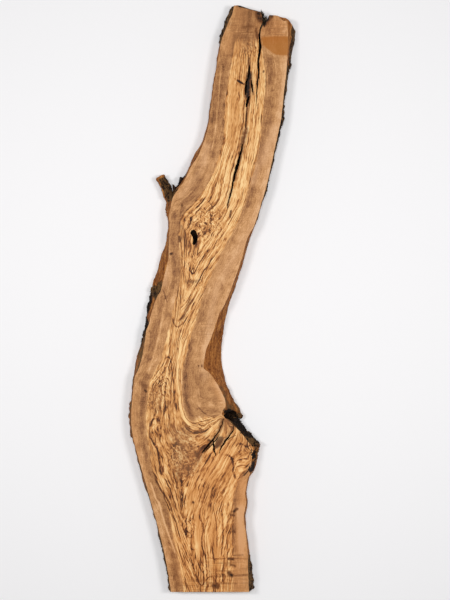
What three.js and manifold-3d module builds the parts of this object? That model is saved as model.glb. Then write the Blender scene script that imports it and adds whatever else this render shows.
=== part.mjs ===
import * as THREE from 'three';
import { mergeVertices } from 'three/addons/utils/BufferGeometryUtils.js';
import Module from 'manifold-3d';

// An olive plank sawn through and through from a crooked stem, with its natural edges left on.
// It lies on its sawn back face. Millimetres. X runs across the plank, Y along it from the square
// foot at 0 to the split end, and Z up from the back face at 0 to the show face.

// Driving dimensions
const LENGTH = 1600;
const THICKNESS = 50;
const STATION_STEP = 10;
const WANE_STEPS = 6;
const WANE_CURVE = 1.8;
const BARK_THICKNESS = 3;
const CLEAR = 6;

// Arrises of the show face, as [y, x]
const SHOW_LEFT = [
  [0, -112], [74, -124], [155, -142], [278, -176], [401, -211], [436, -218], [475, -221], [537, -217],
  [585, -211], [605, -202], [640, -191], [696, -180], [758, -166], [804, -150], [820, -141], [856, -132],
  [880, -126], [905, -120], [957, -118], [1000, -116], [1022, -118], [1041, -115], [1075, -107],
  [1096, -94], [1120, -77], [1160, -57], [1191, -37], [1213, -28], [1240, -18], [1273, -10], [1341, -1],
  [1423, 11], [1505, 26], [1532, 36], [1559, 47], [1573, 54], [1600, 61],
];
const SHOW_RIGHT = [
  [0, 100], [98, 97], [161, 92], [188, 87], [210, 87], [245, 93], [267, 90], [286, 93], [305, 96],
  [326, 104], [365, 108], [387, 112], [398, 108], [412, 96], [435, 78], [458, 55], [474, 38], [485, 26],
  [497, 33], [512, 37], [532, 32], [567, 13], [586, 0], [603, -19], [615, -25], [638, -20], [660, -17],
  [692, -3], [739, 13], [761, 21], [780, 32], [829, 53], [900, 78], [960, 95], [981, 105], [1000, 115],
  [1050, 131], [1110, 149], [1191, 167], [1256, 181], [1289, 188], [1355, 195], [1437, 204], [1505, 207],
  [1546, 205], [1600, 202],
];

// Edges of the back face, which is the wider one, as [y, x]
const BACK_LEFT = [
  [0, -118], [62, -128], [145, -146], [228, -169], [311, -194], [394, -216], [452, -227], [491, -227],
  [533, -224], [585, -218], [621, -212], [666, -202], [685, -196], [695, -197], [710, -191], [757, -182],
  [838, -167], [879, -152], [918, -142], [940, -133], [979, -123], [1004, -122], [1026, -125],
  [1050, -128], [1073, -123], [1090, -112], [1112, -94], [1130, -81], [1151, -68], [1198, -50],
  [1220, -36], [1239, -26], [1281, -13], [1309, -8], [1392, 2], [1475, 17], [1517, 23], [1544, 30],
  [1572, 38], [1600, 50],
];
const BACK_RIGHT = [
  [0, 114], [53, 108], [117, 100], [178, 91], [200, 90], [220, 96], [236, 98], [258, 94], [278, 96],
  [308, 104], [328, 116], [358, 123], [398, 131], [414, 121], [445, 96], [461, 84], [480, 80], [500, 73],
  [516, 60], [544, 44], [583, 34], [620, 26], [657, 25], [691, 28], [738, 35], [780, 45], [829, 61],
  [901, 85], [962, 103], [1004, 118], [1054, 134], [1115, 153], [1198, 171], [1259, 185], [1273, 192],
  [1298, 198], [1339, 199], [1392, 206], [1472, 219], [1517, 227], [1548, 230], [1600, 232],
];

// The split end, as the saw left it, with the cleft between its two lobes, as [x, y]
const END_OUTLINE = [
  [40, 1601], [62, 1599], [75, 1599], [103, 1589], [131, 1582], [138, 1574], [145, 1556], [151, 1566],
  [159, 1573], [172, 1572], [198, 1567], [208, 1562], [223, 1546], [236, 1530],
];
const CLEFT = [[129, 1590], [135, 1572], [137, 1556], [142, 1538], [150, 1553], [166, 1574], [168, 1590]];
const CLEFT_MIDDLE = 144;
const CLEFT_BACK_SHARE = 0.55;

// Cracks, as [x, y, width] along their mouths on the show face
const SPLIT = [
  [143, 1556, 7], [137, 1546, 5], [131, 1534, 4], [127, 1515, 4.5], [129, 1486, 6], [125, 1440, 6],
  [126, 1417, 5], [122, 1368, 3.5], [119, 1325, 1.5],
];
const UPPER_CHECK = [
  [102, 1440, 2], [102, 1419, 6], [98, 1398, 6], [98, 1374, 14], [96, 1352, 12], [96, 1333, 9],
  [96, 1319, 4], [93, 1270, 2],
];
const LOWER_CHECK = [
  [82, 1222, 3], [80, 1205, 11], [76, 1191, 9], [69, 1164, 11], [62, 1140, 7], [53, 1098, 5],
  [43, 1060, 3.5], [41, 1046, 1.5],
];
const BURR_CRACKS = [
  [[28, 466, 4], [19, 450, 6], [-3, 420, 6], [-25, 392, 7], [-40, 369, 3]],
  [[62, 455, 5], [43, 425, 5], [24, 400, 4], [15, 386, 2]],
];
const SPLIT_LEAN = 12;
const CHECK_DEPTH = 30;
const BURR_CRACK_DEPTH = 7;
const CRACK_FLOOR_SHARE = 0.3;

// The knot hole's mouth, as [x, y]
const KNOT_HOLE = [
  [-58, 984], [-52, 987], [-45, 984], [-39, 966], [-40, 956], [-51, 946], [-54, 961], [-60, 978],
];
const KNOT_HOLE_MIDDLE = [-49, 966];
const KNOT_HOLE_DEPTH = 32;
const KNOT_HOLE_DRIFT = -14;
const KNOT_HOLE_FLOOR_SHARE = 0.6;

// Torn edge under the spur, where the rotted wood broke away, as [x, y]
const TORN_EDGE = [
  [71, 472], [77, 461], [81, 454], [86, 450], [90, 444], [93, 436], [97, 431], [102, 432], [107, 427],
  [108, 422], [115, 414], [124, 406],
];

// Bark still on the natural edges, with its reach along Y and up the edge as shares of the thickness
const BARK_PATCHES = [
  { side: -1, from: 1020, to: 1160, low: 0, high: 0.85 },
  { side: -1, from: 640, to: 900, low: 0.1, high: 0.6 },
  { side: -1, from: 420, to: 520, low: 0, high: 0.5 },
  { side: -1, from: 1440, to: 1580, low: 0.1, high: 0.9 },
  { side: 1, from: 1230, to: 1330, low: 0, high: 0.7 },
  { side: 1, from: 1420, to: 1540, low: 0, high: 0.6 },
  { side: 1, from: 700, to: 860, low: 0, high: 0.4 },
  { side: 1, from: 20, to: 110, low: 0.1, high: 0.5 },
];

// Lumps and hollows: centre, half sizes and how deeply their surface waves
const BARK_LUMP = { centre: [114, 404, 24], half: [15, 8, 17], wave: 0.16 };
const BARK_FLAKE = { centre: [-82, 1130, 28], half: [9, 10, 9], wave: 0.2 };
const ROT_HOLLOW = { centre: [55, 480, 36], half: [25, 15, 27], wave: 0.14 };
const BURR_PIT = { centre: [124, 378, 40], half: [11, 15, 20], wave: 0.14 };
const CORNER_CHIP = { centre: [200, 1573, 56], half: [19, 17, 15], wave: 0.12 };
const EDGE_PITS = [
  { centre: [22, 690, 24], half: [9, 24, 9], wave: 0.2 },
  { centre: [-200, 700, 22], half: [7, 20, 7], wave: 0.2 },
  { centre: [-160, 860, 26], half: [7, 26, 6], wave: 0.2 },
  { centre: [52, 800, 18], half: [6, 22, 7], wave: 0.2 },
];

// Tapering limbs: route of the middle line, radii at root and tip
const TWIG_STUB = {
  route: [[-104, 1062, 22], [-126, 1084, 21], [-134, 1106, 20], [-145, 1136, 19]],
  radii: [16, 12],
};
const SPUR = {
  route: [[28, 556, 17], [47, 522, 17], [66, 492, 16], [81, 474, 14]],
  radii: [12, 4.5],
};

const wasm = await Module();
wasm.setup();

// Moves every point of a geometry
function reshape(geometry, move) {
  const position = geometry.attributes.position;
  const point = new THREE.Vector3();
  for (let i = 0; i < position.count; i += 1) {
    move(point.fromBufferAttribute(position, i));
    position.setXYZ(i, point.x, point.y, point.z);
  }
  return geometry;
}

// Closed surface to solid
function solid(geometry) {
  geometry.deleteAttribute('normal');
  geometry.deleteAttribute('uv');
  const merged = mergeVertices(geometry, 1e-4);
  const vertProperties = merged.attributes.position.array;
  const triVerts = Uint32Array.from(merged.index.array);
  return new wasm.Manifold(new wasm.Mesh({ numProp: 3, vertProperties, triVerts }));
}

// Smooth line through [y, x] points, read as x at any y
function edgeLine(points) {
  const last = points.length - 1;
  const slopes = points.map((point, i) => {
    const [y0, x0] = points[Math.max(i - 1, 0)];
    const [y1, x1] = points[Math.min(i + 1, last)];
    return (x1 - x0) / (y1 - y0);
  });
  return (y) => {
    const next = points.findIndex((point) => point[0] > y);
    const i = (next < 0 ? last : next) - 1;
    const [y0, x0] = points[i];
    const [y1, x1] = points[i + 1];
    const span = y1 - y0;
    const t = (y - y0) / span;
    const rise = t * t * (3 - 2 * t);
    const bend = t * (1 - t) * ((1 - t) * slopes[i] - t * slopes[i + 1]) * span;
    return THREE.MathUtils.lerp(x0, x1, rise) + bend;
  };
}

// Slow swelling of a natural edge, from crossed waves
function swelling(y, height, side) {
  return 1.3 * Math.sin(y / 11 + 4 * height + side)
    + 1.1 * Math.sin(y / 27 - 3 * height + 2 * side)
    + 0.9 * Math.sin(y / 6.3 + 9 * height * side);
}

function barkAt(y, height, side) {
  const held = BARK_PATCHES.some((patch) => {
    const ragged = 9 * Math.sin(y / 7) * height;
    const along = y > patch.from + ragged && y < patch.to + ragged;
    return patch.side === side && along && height >= patch.low && height <= patch.high;
  });
  return held ? BARK_THICKNESS : 0;
}

const edges = {
  '-1': { show: edgeLine(SHOW_LEFT), back: edgeLine(BACK_LEFT) },
  1: { show: edgeLine(SHOW_RIGHT), back: edgeLine(BACK_RIGHT) },
};

// Place across the plank of its natural edge, at a height given as a share of the thickness
function waneX(y, height, side) {
  const show = edges[side].show(y);
  const back = edges[side].back(y);
  const bulge = 1 - height ** WANE_CURVE;
  const fade = 4 * height * (1 - height);
  const relief = swelling(y, height, side) + barkAt(y, height, side);
  return THREE.MathUtils.lerp(show, back, bulge) + side * fade * relief;
}

// The sawn board before its cracks: a tube of cross-sections, flat on the show and back faces
function board() {
  const around = 2 * (WANE_STEPS + 1);
  const stations = Math.round(LENGTH / STATION_STEP);
  const tube = new THREE.CylinderGeometry(1, 1, 1, around, stations);
  return solid(reshape(tube, (point) => {
    const y = (point.y + 0.5) * LENGTH;
    const onAxis = Math.hypot(point.x, point.z) < 0.5;
    const turn = Math.atan2(point.x, point.z) / (2 * Math.PI);
    const slot = (Math.round(turn * around) + around) % around;
    const right = slot > 0 && slot <= WANE_STEPS + 1;
    const step = right ? slot - 1 : (around - slot) % around;
    const height = 1 - step / WANE_STEPS;
    if (onAxis) {
      point.set((waneX(y, 0.5, -1) + waneX(y, 0.5, 1)) / 2, y, THICKNESS / 2);
    } else {
      point.set(waneX(y, height, right ? 1 : -1), y, height * THICKNESS);
    }
  }));
}

function extruded(points, depth) {
  const outline = new THREE.Shape(points.map(([x, y]) => new THREE.Vector2(x, y)));
  return new THREE.ExtrudeGeometry(outline, { depth, bevelEnabled: false });
}

// What the crosscut saw took off the split end
function endOffcut() {
  const [farX, nearX] = [260, 0];
  const beyond = [[farX, 1530], [farX, LENGTH + CLEAR], [nearX, LENGTH + CLEAR], [nearX, LENGTH + 1]];
  const block = extruded([...END_OUTLINE, ...beyond], THICKNESS + 2 * CLEAR);
  return solid(block.translate(0, 0, -CLEAR));
}

// The cleft narrows towards the back face, so its bark-lined walls slope
function cleft() {
  const wedge = extruded(CLEFT, THICKNESS + 2 * CLEAR).translate(0, 0, -CLEAR);
  return solid(reshape(wedge, (point) => {
    const open = THREE.MathUtils.mapLinear(point.z, 0, THICKNESS, CLEFT_BACK_SHARE, 1);
    point.x = CLEFT_MIDDLE + (point.x - CLEFT_MIDDLE) * open;
  }));
}

// A crack opens from a narrow floor to its mouth, and leans sideways as it goes down
function crack(route, depth, lean) {
  const last = route.length - 1;
  const floor = THICKNESS - depth;
  const lips = route.map(([x, y, width], i) => {
    const [x0, y0] = route[Math.max(i - 1, 0)];
    const [x1, y1] = route[Math.min(i + 1, last)];
    const half = width / 2 / Math.hypot(x1 - x0, y1 - y0);
    return [(y0 - y1) * half, (x1 - x0) * half, x, y];
  });
  const near = lips.map(([dx, dy, x, y]) => [x + dx, y + dy]);
  const far = lips.map(([dx, dy, x, y]) => [x - dx, y - dy]).reverse();
  const wedge = extruded([...near, ...far], depth + CLEAR).translate(0, 0, floor);
  return solid(reshape(wedge, (point) => {
    const open = THREE.MathUtils.mapLinear(point.z, floor, THICKNESS, CRACK_FLOOR_SHARE, 1);
    const shift = THREE.MathUtils.mapLinear(point.z, floor, THICKNESS, lean, 0);
    const gap = ([x, y]) => Math.hypot(x - point.x, y - point.y);
    const [x, y] = route.reduce((best, stop) => (gap(stop) < gap(best) ? stop : best));
    point.x = x + (point.x - x) * open + shift;
    point.y = y + (point.y - y) * open;
  }));
}

// The knot hole narrows and drifts along the grain as it goes down
function knotHole() {
  const floor = THICKNESS - KNOT_HOLE_DEPTH;
  const plug = extruded(KNOT_HOLE, KNOT_HOLE_DEPTH + CLEAR).translate(0, 0, floor);
  const [middleX, middleY] = KNOT_HOLE_MIDDLE;
  return solid(reshape(plug, (point) => {
    const open = THREE.MathUtils.mapLinear(point.z, floor, THICKNESS, KNOT_HOLE_FLOOR_SHARE, 1);
    const drift = THREE.MathUtils.mapLinear(point.z, floor, THICKNESS, KNOT_HOLE_DRIFT, 0);
    point.x = middleX + (point.x - middleX) * open;
    point.y = middleY + (point.y - middleY) * open + drift;
  }));
}

// Wood that broke away outside the torn edge
function tornPiece() {
  const outside = [[140, 396], [140, 470], [92, 467]];
  return solid(extruded([...TORN_EDGE, ...outside], THICKNESS + 2 * CLEAR).translate(0, 0, -CLEAR));
}

// A rough rounded lump, also used as the shape of a hollow
function lump({ centre, half, wave }, detail) {
  const ball = new THREE.IcosahedronGeometry(1, detail);
  return solid(reshape(ball, (point) => {
    const rough = Math.sin(5 * point.x + 2 * point.z) * Math.cos(6 * point.y - 3 * point.z);
    point.multiplyScalar(1 + wave * rough);
    point.set(centre[0] + half[0] * point.x, centre[1] + half[1] * point.y, centre[2] + half[2] * point.z);
  }));
}

// A tapering limb along a curved route, furrowed with bark
function limb({ route, radii }) {
  const curve = new THREE.CatmullRomCurve3(route.map((stop) => new THREE.Vector3(...stop)));
  const up = new THREE.Vector3(0, 0, 1);
  const tube = new THREE.CylinderGeometry(1, 1, 1, 10, 12);
  return solid(reshape(tube, (point) => {
    const along = point.y + 0.5;
    const pith = curve.getPoint(along);
    const sideways = curve.getTangent(along).cross(up).normalize();
    const turn = Math.atan2(point.x, point.z);
    const furrow = 1 + 0.09 * Math.sin(3 * turn + 5 * along) + 0.05 * Math.sin(31 * along + 2 * turn);
    const radius = THREE.MathUtils.lerp(radii[0], radii[1], along) * furrow;
    const { x, z } = point;
    point.copy(pith).addScaledVector(sideways, x * radius).addScaledVector(up, z * radius);
  }));
}

let plank = board()
  .subtract(endOffcut())
  .subtract(cleft())
  .subtract(crack(SPLIT, THICKNESS + CLEAR, SPLIT_LEAN))
  .subtract(crack(UPPER_CHECK, CHECK_DEPTH, 0))
  .subtract(crack(LOWER_CHECK, CHECK_DEPTH, 0))
  .subtract(knotHole())
  .subtract(tornPiece())
  .add(lump(BARK_LUMP, 2))
  .add(lump(BARK_FLAKE, 1))
  .add(limb(TWIG_STUB))
  .add(limb(SPUR))
  .subtract(lump(ROT_HOLLOW, 3))
  .subtract(lump(BURR_PIT, 2))
  .subtract(lump(CORNER_CHIP, 2));
BURR_CRACKS.forEach((route) => {
  plank = plank.subtract(crack(route, BURR_CRACK_DEPTH, 0));
});
EDGE_PITS.forEach((pit) => {
  plank = plank.subtract(lump(pit, 2));
});

// Back to a surface, with the origin under the middle of the box that the plank fills
const surface = plank.getMesh();
const geometry = new THREE.BufferGeometry();
geometry.setAttribute('position', new THREE.BufferAttribute(surface.vertProperties, 3));
geometry.setIndex(new THREE.BufferAttribute(surface.triVerts, 1));
geometry.computeBoundingBox();
const boxMiddle = geometry.boundingBox.getCenter(new THREE.Vector3());
geometry.translate(-boxMiddle.x, -boxMiddle.y, 0);
geometry.computeVertexNormals();

const oliveWood = new THREE.MeshStandardMaterial({
  color: '#b98a5c',
  roughness: 0.55,
  metalness: 0,
  flatShading: true,
});
const plankMesh = new THREE.Mesh(geometry, oliveWood);
plankMesh.name = 'plank';

const object = new THREE.Group();
object.add(plankMesh);
export default object;
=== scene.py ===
import math
from functools import partial
from itertools import product

import bmesh
import bpy
import numpy as np
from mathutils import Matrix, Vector


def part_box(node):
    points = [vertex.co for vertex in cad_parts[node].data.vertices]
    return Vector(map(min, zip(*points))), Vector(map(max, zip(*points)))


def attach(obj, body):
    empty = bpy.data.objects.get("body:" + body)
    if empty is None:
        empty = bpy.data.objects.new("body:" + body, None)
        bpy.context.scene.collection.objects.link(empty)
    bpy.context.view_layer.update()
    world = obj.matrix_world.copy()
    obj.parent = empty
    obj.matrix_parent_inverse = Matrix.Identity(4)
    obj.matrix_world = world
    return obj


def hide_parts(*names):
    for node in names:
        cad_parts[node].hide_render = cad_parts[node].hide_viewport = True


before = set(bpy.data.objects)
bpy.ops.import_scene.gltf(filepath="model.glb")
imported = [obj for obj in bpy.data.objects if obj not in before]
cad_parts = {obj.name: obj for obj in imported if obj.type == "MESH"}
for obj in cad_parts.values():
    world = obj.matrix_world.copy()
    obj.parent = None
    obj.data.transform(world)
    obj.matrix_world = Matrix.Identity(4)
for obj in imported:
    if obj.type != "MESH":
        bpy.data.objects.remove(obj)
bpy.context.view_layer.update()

# An olive plank sawn through and through from a crooked stem, lying on its sawn back face.
# Sizes are millimetres in the plank's own datum: X across, Y from the square foot to the split end,
# Z up from the back face to the show face. in_frame() turns them to the frame's metres.

MM = 0.001
LENGTH = 1600.0
THICKNESS = 50.0
DATUM_SHIFT = (0.16, -800.0)

# Fineness of the surfaces: cross-sections of the board and points along each of their sides, steps along
# the walls of cracks and holes, and how finely limbs and lumps are divided
STATIONS = 500
SHOW_COLUMNS = 120
WANE_ROWS = 13
BACK_COLUMNS = 24
WALL_STEP = 2.6
CRACK_LEVELS = 8
LIMB_RINGS = 44
LIMB_SIDES = 40
LUMP_FINENESS = 4

# The natural edges bulge from the show face to the back face, and their bark stands proud of the wood
WANE_CURVE = 1.8
BARK_THICKNESS = 3.0

# Material slots of the board; the last is for the walls of cracks and holes, coloured with old dirt and
# painted shade
SANDED, BARKED, CROSSCUT, DIRT_AND_SHADE = range(4)

# Arrises of the show face, as (y, x)
SHOW_LEFT = [
    (0, -112), (74, -124), (155, -142), (278, -176), (401, -211), (436, -218), (475, -221), (537, -217),
    (585, -211), (605, -202), (640, -191), (696, -182), (716, -179), (728, -173), (758, -166), (804, -150),
    (820, -141), (856, -132),
    (880, -126), (905, -120), (957, -118), (1000, -116), (1022, -118), (1041, -115), (1075, -107),
    (1096, -94), (1120, -77), (1160, -57), (1191, -37), (1213, -28), (1240, -18), (1273, -10), (1341, -1),
    (1423, 11), (1505, 26), (1532, 36), (1559, 47), (1573, 54), (1600, 61),
]
SHOW_RIGHT = [
    (0, 100), (98, 97), (161, 92), (188, 87), (210, 87), (245, 93), (267, 90), (286, 93), (305, 96),
    (326, 104), (365, 108), (387, 112), (398, 108), (412, 96), (435, 78), (458, 55), (474, 38), (485, 26),
    (497, 33), (512, 37), (532, 32), (567, 14), (586, 1), (599, -9), (610, -23), (638, -20), (660, -17),
    (692, -3), (739, 13), (761, 21), (780, 32), (829, 53), (900, 78), (960, 95), (981, 105), (1000, 115),
    (1050, 131), (1110, 149), (1191, 167), (1256, 181), (1289, 188), (1355, 195), (1437, 204), (1505, 207),
    (1546, 205), (1600, 202),
]

# Edges of the back face, which is the wider one, as (y, x)
BACK_LEFT = [
    (0, -118), (62, -128), (145, -146), (228, -169), (311, -194), (394, -216), (452, -227), (491, -227),
    (533, -224), (585, -218), (621, -212), (666, -200), (687, -191), (714, -187), (757, -180),
    (838, -166), (879, -152), (918, -142), (940, -133), (979, -123), (1004, -122), (1026, -125),
    (1050, -128), (1073, -123), (1090, -112), (1112, -94), (1130, -81), (1151, -68), (1198, -50),
    (1220, -36), (1239, -26), (1281, -13), (1309, -8), (1392, 2), (1475, 17), (1517, 23), (1544, 30),
    (1572, 38), (1600, 50),
]
BACK_RIGHT = [
    (0, 114), (53, 108), (117, 100), (178, 91), (200, 90), (220, 96), (236, 98), (258, 94), (278, 96),
    (308, 104), (328, 116), (358, 123), (398, 131), (414, 121), (445, 96), (461, 84), (480, 80), (500, 73),
    (516, 60), (544, 44), (583, 34), (620, 26), (657, 25), (691, 28), (738, 35), (780, 45), (829, 61),
    (901, 85), (962, 103), (1004, 118), (1054, 134), (1115, 153), (1198, 171), (1259, 184), (1273, 190),
    (1298, 195.5), (1339, 197.5), (1368, 200.5), (1392, 205), (1472, 219), (1517, 227), (1548, 230),
    (1600, 232),
]

# Show and back line of each natural edge. The left side is -1 and the right side 1.
EDGES = {-1: (SHOW_LEFT, BACK_LEFT), 1: (SHOW_RIGHT, BACK_RIGHT)}

# The split end, as the saw left it, with the cleft between its two lobes, as (x, y)
END_OUTLINE = [
    (40, 1601), (62, 1599), (75, 1599), (103, 1589), (131, 1582), (138, 1574), (143, 1556), (148, 1566),
    (155, 1573), (172, 1572), (198, 1567), (208, 1562), (223, 1546), (236, 1530),
    (260, 1530), (260, 1606), (0, 1606), (0, 1601),
]
CLEFT = [(129, 1590), (135, 1572), (137, 1556), (142, 1538), (147, 1553), (157, 1574), (159, 1590)]
CLEFT_MIDDLE = 144.0
CLEFT_BACK_SHARE = 0.55

# Cracks, as (x, y, width) along their mouths on the show face
SPLIT = [
    (143, 1556, 7), (137, 1546, 5), (131, 1534, 4), (129, 1515, 4.5), (131, 1483, 7), (127, 1456, 6),
    (125, 1438, 5.5), (127, 1419, 4.5), (125, 1395, 4), (122, 1368, 3), (120, 1325, 1.2),
]
UPPER_CHECKS = [
    [
        (101, 1438, 1), (101.5, 1428, 5.5), (100, 1412, 6), (97, 1400, 3), (93, 1390, 5), (92, 1372, 6),
        (91, 1355, 3),
    ],
    [(106, 1396, 2), (108.5, 1380, 5.5), (111, 1362, 2)],
    [(101, 1352, 4), (96, 1338, 8), (93, 1322, 4)],
    [(93.5, 1312, 1.2), (93, 1290, 2.2), (91.5, 1265, 1.5)],
]
LOWER_CHECK = [
    (82, 1222, 2), (80, 1205, 6), (76, 1191, 5), (69, 1164, 9), (62, 1140, 7), (56, 1112, 5),
    (52, 1090, 4), (43, 1060, 3), (41, 1046, 1.5),
]
BURR_CRACKS = [
    [
        (32, 474, 1.2), (27, 458, 2.6), (19, 439, 2.8), (8, 423, 3.4), (-5, 407, 5.0), (-18, 391, 6.4),
        (-28, 379, 2.5),
    ],
    [(21, 432, 1.0), (12, 417, 2.2), (1, 403, 2.6), (-10, 392, 2.8), (-22, 381, 1.2)],
    [
        (60, 458, 1.4), (57, 440, 3.4), (46, 424, 4.0), (38, 414, 4.6), (31, 404, 4.4), (24, 392, 3.6),
        (18, 377, 1.4),
    ],
    [(3, 414, 2.2), (4, 400, 5.4), (5, 387, 4.8), (10, 371, 1.4)],
    [(65, 428, 1.0), (50, 420, 2.0), (38, 412, 1.2)],
]

# The split leans to the right as it goes through. Checks and the burr's cracks end in the wood. All of
# them narrow to a share of their width, and their walls wander a little.
SPLIT_LEAN = 12.0
CHECK_DEPTH = 30.0
BURR_CRACK_DEPTH = 7.0
CRACK_FLOOR_SHARE = 0.3
CRACK_WANDER = 0.7

# How far the blocks that cut the board reach past its faces
OVERSHOOT = 6.0
CRACK_OVERSHOOT = 4.0

# The knot hole's mouth, as (x, y). It narrows and drifts towards the foot as it goes down.
KNOT_HOLE = [
    (-60, 978), (-57, 986), (-50, 988), (-44, 984), (-40, 973), (-39, 962), (-43, 951), (-50, 945),
    (-54, 949), (-52, 958), (-53, 967),
]
KNOT_HOLE_MIDDLE = (-49.0, 966.0)
KNOT_HOLE_DEPTH = 32.0
KNOT_HOLE_DRIFT = -14.0
KNOT_HOLE_FLOOR_SHARE = 0.6

# Torn edge under the spur, where the rotted wood broke away, as (x, y)
TORN_EDGE = [
    (71, 472), (77, 461), (81, 454), (86, 450), (90, 444), (93, 436), (97, 431), (102, 432), (107, 427),
    (108, 422), (115, 414), (124, 406), (140, 396), (140, 470), (92, 467),
]

# Bark still on the natural edges: (side, start, end, lowest, highest), the last two as shares of the
# thickness
BARK_PATCHES = [
    (-1, 1020, 1160, 0.0, 0.85), (-1, 640, 900, 0.3, 0.8), (-1, 420, 520, 0.0, 0.5),
    (-1, 1500, 1580, 0.1, 0.9), (1, 1230, 1330, 0.0, 0.7), (1, 1420, 1540, 0.0, 0.6),
    (1, 700, 860, 0.0, 0.4), (1, 20, 110, 0.1, 0.5),
]

# Lumps and hollows: centre, half sizes and how deeply their surface waves
BARK_LUMP = ((114, 404, 24), (15, 8, 17), 0.16)
ROT_HOLLOW = ((52, 479, 36), (21, 13, 27), 0.14)
BURR_PIT = ((124, 378, 40), (11, 15, 20), 0.14)
CORNER_CHIP = ((200, 1573, 56), (19, 17, 15), 0.12)
EDGE_PITS = [
    ((22, 690, 24), (9, 24, 9), 0.2),
    ((-200, 700, 22), (7, 20, 7), 0.2),
    ((-160, 860, 26), (7, 26, 6), 0.2),
    ((52, 800, 18), (6, 22, 7), 0.2),
]

# Tapering limbs: route of the middle line, radii at root and tip
TWIG_STUB = ([(-104, 1062, 22), (-120, 1084, 22), (-131, 1110, 21), (-144, 1136, 20)], (15.5, 12.0))
DEAD_SHOOT = ([(-98, 1084, 24), (-103, 1097, 25), (-107, 1113, 26)], (8.5, 2.0))
BARK_FLAKE = ([(-96, 1097, 27), (-90, 1113, 28), (-83, 1132, 29)], (2.0, 5.8))
SPUR = ([(28, 556, 17), (47, 522, 17), (66, 492, 16), (81, 474, 14)], (12.0, 4.5))

# The figure of the wood is read as lines on the photograph, in its pixels. These are the middle of
# the photograph in pixels and on the plank, and its scale.
PHOTO_CENTRE = (225.0, 300.0)
PHOTO_DATUM = (35.0, 796.0)
MM_PER_PIXEL = 2.726

# Border of the heart: up its left side, round the split end, down its right side, round the burr and
# down to the foot
HEART_LEFT = [
    (183.5, 590), (179.5, 565), (175, 545), (173, 535), (170.5, 520), (168, 510), (164.5, 500),
    (160, 490), (155, 480), (152, 470), (149.5, 450), (146, 430), (146, 420), (147.5, 400), (148, 390),
    (150, 380), (155.5, 370), (161.5, 360), (164, 350), (166, 340), (168.5, 330), (171.5, 320),
    (173, 310), (175, 300), (178, 290), (180.5, 280), (181, 270), (180, 258), (179, 240), (180, 228),
    (180.5, 218), (186, 210), (197, 200), (204, 190), (210, 180), (215, 170), (218, 160), (220, 150),
    (222.7, 140), (224, 130), (224.5, 120), (225, 110), (225.5, 100), (227, 90), (228.5, 80),
    (230, 70), (232, 60), (233.5, 50), (236, 35), (240, 12), (241, -6),
]
HEART_TOP = [(255, -6)]
HEART_RIGHT = [
    (267, -6), (265, 15), (262, 35), (262, 50), (263.5, 60), (265, 70), (265.5, 80), (265, 90),
    (264.5, 100), (263.5, 110), (262, 120), (261, 130), (260, 140), (258.5, 150), (256.5, 160),
    (254.5, 170), (251, 180), (248, 190), (246, 200), (242, 210), (239, 220), (233.5, 230), (228, 240),
    (223, 250), (218, 260), (213.5, 270), (209, 280), (205, 290), (201.5, 300), (199, 310), (196, 320),
    (192.5, 330), (190, 340), (187.5, 350), (185, 360), (182.5, 370), (181.5, 385), (182, 400),
    (183.5, 410), (186, 416.5), (189, 420.5), (193, 422), (197, 419), (205, 416.5), (213, 417),
    (220, 415.5),
]
HEART_BURR = [(232, 416), (246, 428), (260, 440), (258, 452)]
HEART_FOOT = [
    (250.5, 462), (246, 471), (240, 479), (236, 487), (233, 500), (233.5, 520), (233.5, 560), (233, 596),
    (182, 596),
]

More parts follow.
